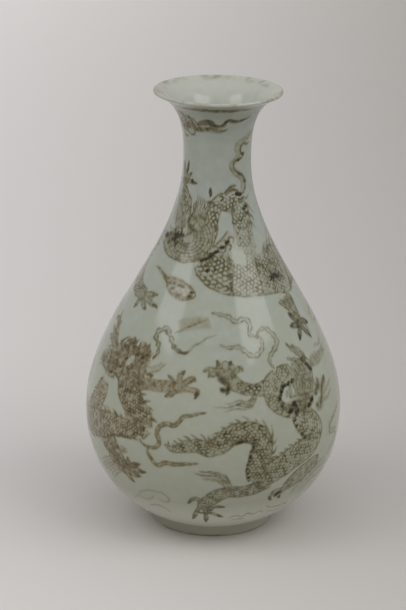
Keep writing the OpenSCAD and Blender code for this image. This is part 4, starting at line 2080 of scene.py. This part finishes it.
@dataclass(frozen=True)
class Paper:
    """Matte studio paper.

    The eye sees a plain pale ground with painted light: it is painted lighter on the left, as if
    lit from there, and has a painted glow far back, seen only by the camera and in reflections. The
    glow adds no light to the vase.
    """

    name: str = "matte_paper"
    # Painted light: the paper is lighter on the left and darker on the right, as if lit from the
    # left
    left: str = "#e1dcd6"
    right: str = "#b4afa7"
    painted_light_fade_half: float = 0.3
    # Painted glow far back on the paper, seen only by the camera and in reflections
    glow: float = 0.32
    painted_glow_from: float = 0.1
    painted_glow_to: float = 1.9
    roughness: float = 0.9

    def material(self) -> bpy.types.Material:
        """Makes the paper's material.

        Returns:
            The material.
        """
        material, tree = new_material(self.name)
        where = add_node(tree, "TexCoord").outputs["Object"]
        axes = add_node(tree, "SeparateXYZ", {"Vector": where}).outputs
        across = add_node(
            tree, "MapRange", {"Value": axes["X"], **span(-self.painted_light_fade_half, self.painted_light_fade_half)}
        )
        # Painted light: the colour runs from the lighter left to the darker right
        tint = add_node(
            tree, "ValToRGB", {"Fac": across}, stops=((0.0, self.left), (1.0, self.right))
        )
        matte = add_node(tree, "BsdfPrincipled", {"Base Color": tint, "Roughness": self.roughness})
        # Painted glow, stronger further back, for camera and glossy rays only
        far = span(self.painted_glow_from, self.painted_glow_to, 0.0, self.glow)
        strength = add_node(tree, "MapRange", {"Value": axes["Y"], **far})
        ray = add_node(tree, "LightPath").outputs
        seen = add_node(
            tree, "Math", {0: ray["Is Camera Ray"], 1: ray["Is Glossy Ray"]}, operation="MAXIMUM"
        )
        seen = add_node(
            tree, "Math", {0: seen, 1: ray["Is Transmission Ray"]}, operation="MAXIMUM"
        )
        strength = add_node(tree, "Math", {0: strength, 1: seen}, operation="MULTIPLY")
        glow = add_node(tree, "Emission", {"Color": tint, "Strength": strength})
        both = add_node(tree, "AddShader", {0: matte, 1: glow})
        add_node(tree, "OutputMaterial", {"Surface": both})
        return material


@dataclass
class Studio:
    """The pale sweep, the lamps and the camera, in metres and degrees."""

    paper: Paper = Paper()
    sky: str = "#f4f6ff"
    sky_strength: float = 0.56
    distance: float = 1.8
    elevation: float = 18.22
    lens: float = 148.1
    sensor: float = 36.0
    roll: float = 0.84
    target: tuple[float, float, float] = (0.0, 0.0, 0.160)
    aim_left: float = 0.0084
    aim_up: float = 0.001
    sweep_width: float = 7.0
    sweep_front: float = -3.5
    sweep_back: float = 3.6
    sweep_bend: float = 0.9
    sweep_top: float = 3.2
    bend_steps: int = 12
    lamps: tuple[Softbox, ...] = (
        Softbox("softbox_left", -65, 43, 1.5, (0.84, 0.8), 1.84),
        Softbox("softbox_right", 58, 43, 1.5, (1.05, 0.8), 2.12),
        Softbox("softbox_top", -8, 66, 1.9, (1.9, 1.5), 0.7, mirrored=False),
        Softbox("softbox_low", 15, 4, 1.9, (2.2, 0.3), 0.5, mirrored=False),
        Softbox("softbox_side_left", -100, 20, 1.8, (1.2, 1.0), 0.18, mirrored=False),
        Softbox("softbox_side_right", 96, 20, 1.8, (1.2, 1.0), 0.62, mirrored=False),
    )

    def sweep(self) -> None:
        """Makes the seamless floor and backdrop of pale paper."""
        bm = bmesh.new()
        half, back, bend = self.sweep_width / 2, self.sweep_back, self.sweep_bend
        turns = np.radians(np.linspace(0, 90, self.bend_steps + 1))
        section = [(self.sweep_front, 0.0)]
        section += [(back + bend * math.sin(t), bend * (1 - math.cos(t))) for t in turns]
        section += [(back + bend, self.sweep_top)]
        verts = [bm.verts.new((-half, y, z)) for y, z in section]
        edges = [bm.edges.new(pair) for pair in zip(verts, verts[1:])]
        made = bmesh.ops.extrude_edge_only(bm, edges=edges)["geom"]
        moved = [v for v in made if isinstance(v, bmesh.types.BMVert)]
        bmesh.ops.translate(bm, verts=moved, vec=(self.sweep_width, 0, 0))
        bmesh.ops.recalc_face_normals(bm, faces=bm.faces[:])
        as_mesh(bm, "paper_sweep", self.paper.material())

    def light(self) -> None:
        """Makes the sky and the lamps."""
        world = bpy.data.worlds.new("soft_room")
        world.use_nodes = True
        world.node_tree.nodes.clear()
        sky = {"Color": linear(self.sky), "Strength": self.sky_strength}
        glow = add_node(world.node_tree, "Background", sky)
        add_node(world.node_tree, "OutputWorld", {"Surface": glow})
        bpy.context.scene.world = world
        for lamp in self.lamps:
            lamp.build(Vector(self.target))

    def camera(self) -> None:
        """Sets the camera where the photograph was taken from."""
        e = math.radians(self.elevation)
        back = Vector((0, -math.cos(e), math.sin(e)))
        up = Vector((0, math.sin(e), math.cos(e)))
        target = Vector(self.target)
        eye = target + back * self.distance
        aim = target - Vector((self.aim_left, 0, 0)) + up * self.aim_up
        camera = bpy.data.cameras.new("camera")
        camera.lens = self.lens
        camera.sensor_width = self.sensor
        thing = bpy.data.objects.new("camera", camera)
        look = (aim - eye).to_track_quat("-Z", "Y").to_matrix().to_4x4()
        roll = Matrix.Rotation(math.radians(self.roll), 4, "Z")
        thing.matrix_world = Matrix.Translation(eye) @ look @ roll
        bpy.context.scene.collection.objects.link(thing)
        bpy.context.scene.camera = thing

    def build(self) -> None:
        """Makes the whole studio."""
        self.sweep()
        self.light()
        self.camera()
        bpy.context.scene.view_settings.view_transform = "Standard"


def dress_clay() -> None:
    """Gives the packed clay and slip their finishes."""
    biscuit = Clay("porcelain_biscuit", "#a89d88", "#7d6c54", 0.8, 0.75).material()
    slip = Clay("luting_slip", "#b3a893", "#97866c", 0.5, 0.85).material()
    clay = ("foot_ring", "lower_body", "upper_body", "neck")
    for name in (*clay, "foot_slip", "belly_slip", "neck_slip"):
        finish = biscuit if name in clay else slip
        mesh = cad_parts[name].data
        mesh.materials.clear()
        mesh.materials.append(finish)
        log.info("%s: %s", name, finish.name)


def main() -> None:
    """Builds the vase and its studio."""
    logging.basicConfig(level=logging.INFO, format="%(name)s: %(message)s")
    form = VaseForm()
    glaze = Glaze()
    # The lining is the glaze painted lighter, as painted light inside the mouth
    lining = Glaze("lining_glaze_painted_lighter", cool="#b2b3a6", warm="#b2b3a6", roughness=0.15)
    pigments = {
        Coat.GREY: ("#847f63", "#686346", "#1d1705"),
        Coat.WARM: ("#887c5b", "#6a5f3f", "#281f0e"),
        Coat.OLIVE: ("#877f5f", "#6e6646", "#352b17"),
    }
    dress_clay()
    Skins(form).build(glaze.material(), lining.material())
    paints = {
        coat: Underglaze(coat.value, *shades, glaze).material() for coat, shades in pigments.items()
    }
    RimLine(form).build(paints[Coat.WARM])
    for side, turn in (("front", 0.0), ("back", 180.0)):
        for figure in (
            ShoulderDragon(f"shoulder_dragon_{side}", turn, Coat.GREY, 0.06),
            FlyingDragon(f"flying_dragon_{side}", turn, Coat.GREY),
            StandingDragon(f"standing_dragon_{side}", turn, Coat.WARM, 0.04),
            Streamers(f"streamers_{side}", turn, Coat.GREY, 0.08),
            Flames(f"flames_{side}", turn, Coat.OLIVE, 0.07),
            NeckScroll(f"neck_scroll_{side}", turn + 3, Coat.GREY),
            Clouds(f"clouds_{side}", turn, Coat.OLIVE, 0.03),
        ):
            figure.build(form, paints)
    Studio().build()


if __name__ == "__main__":
    main()
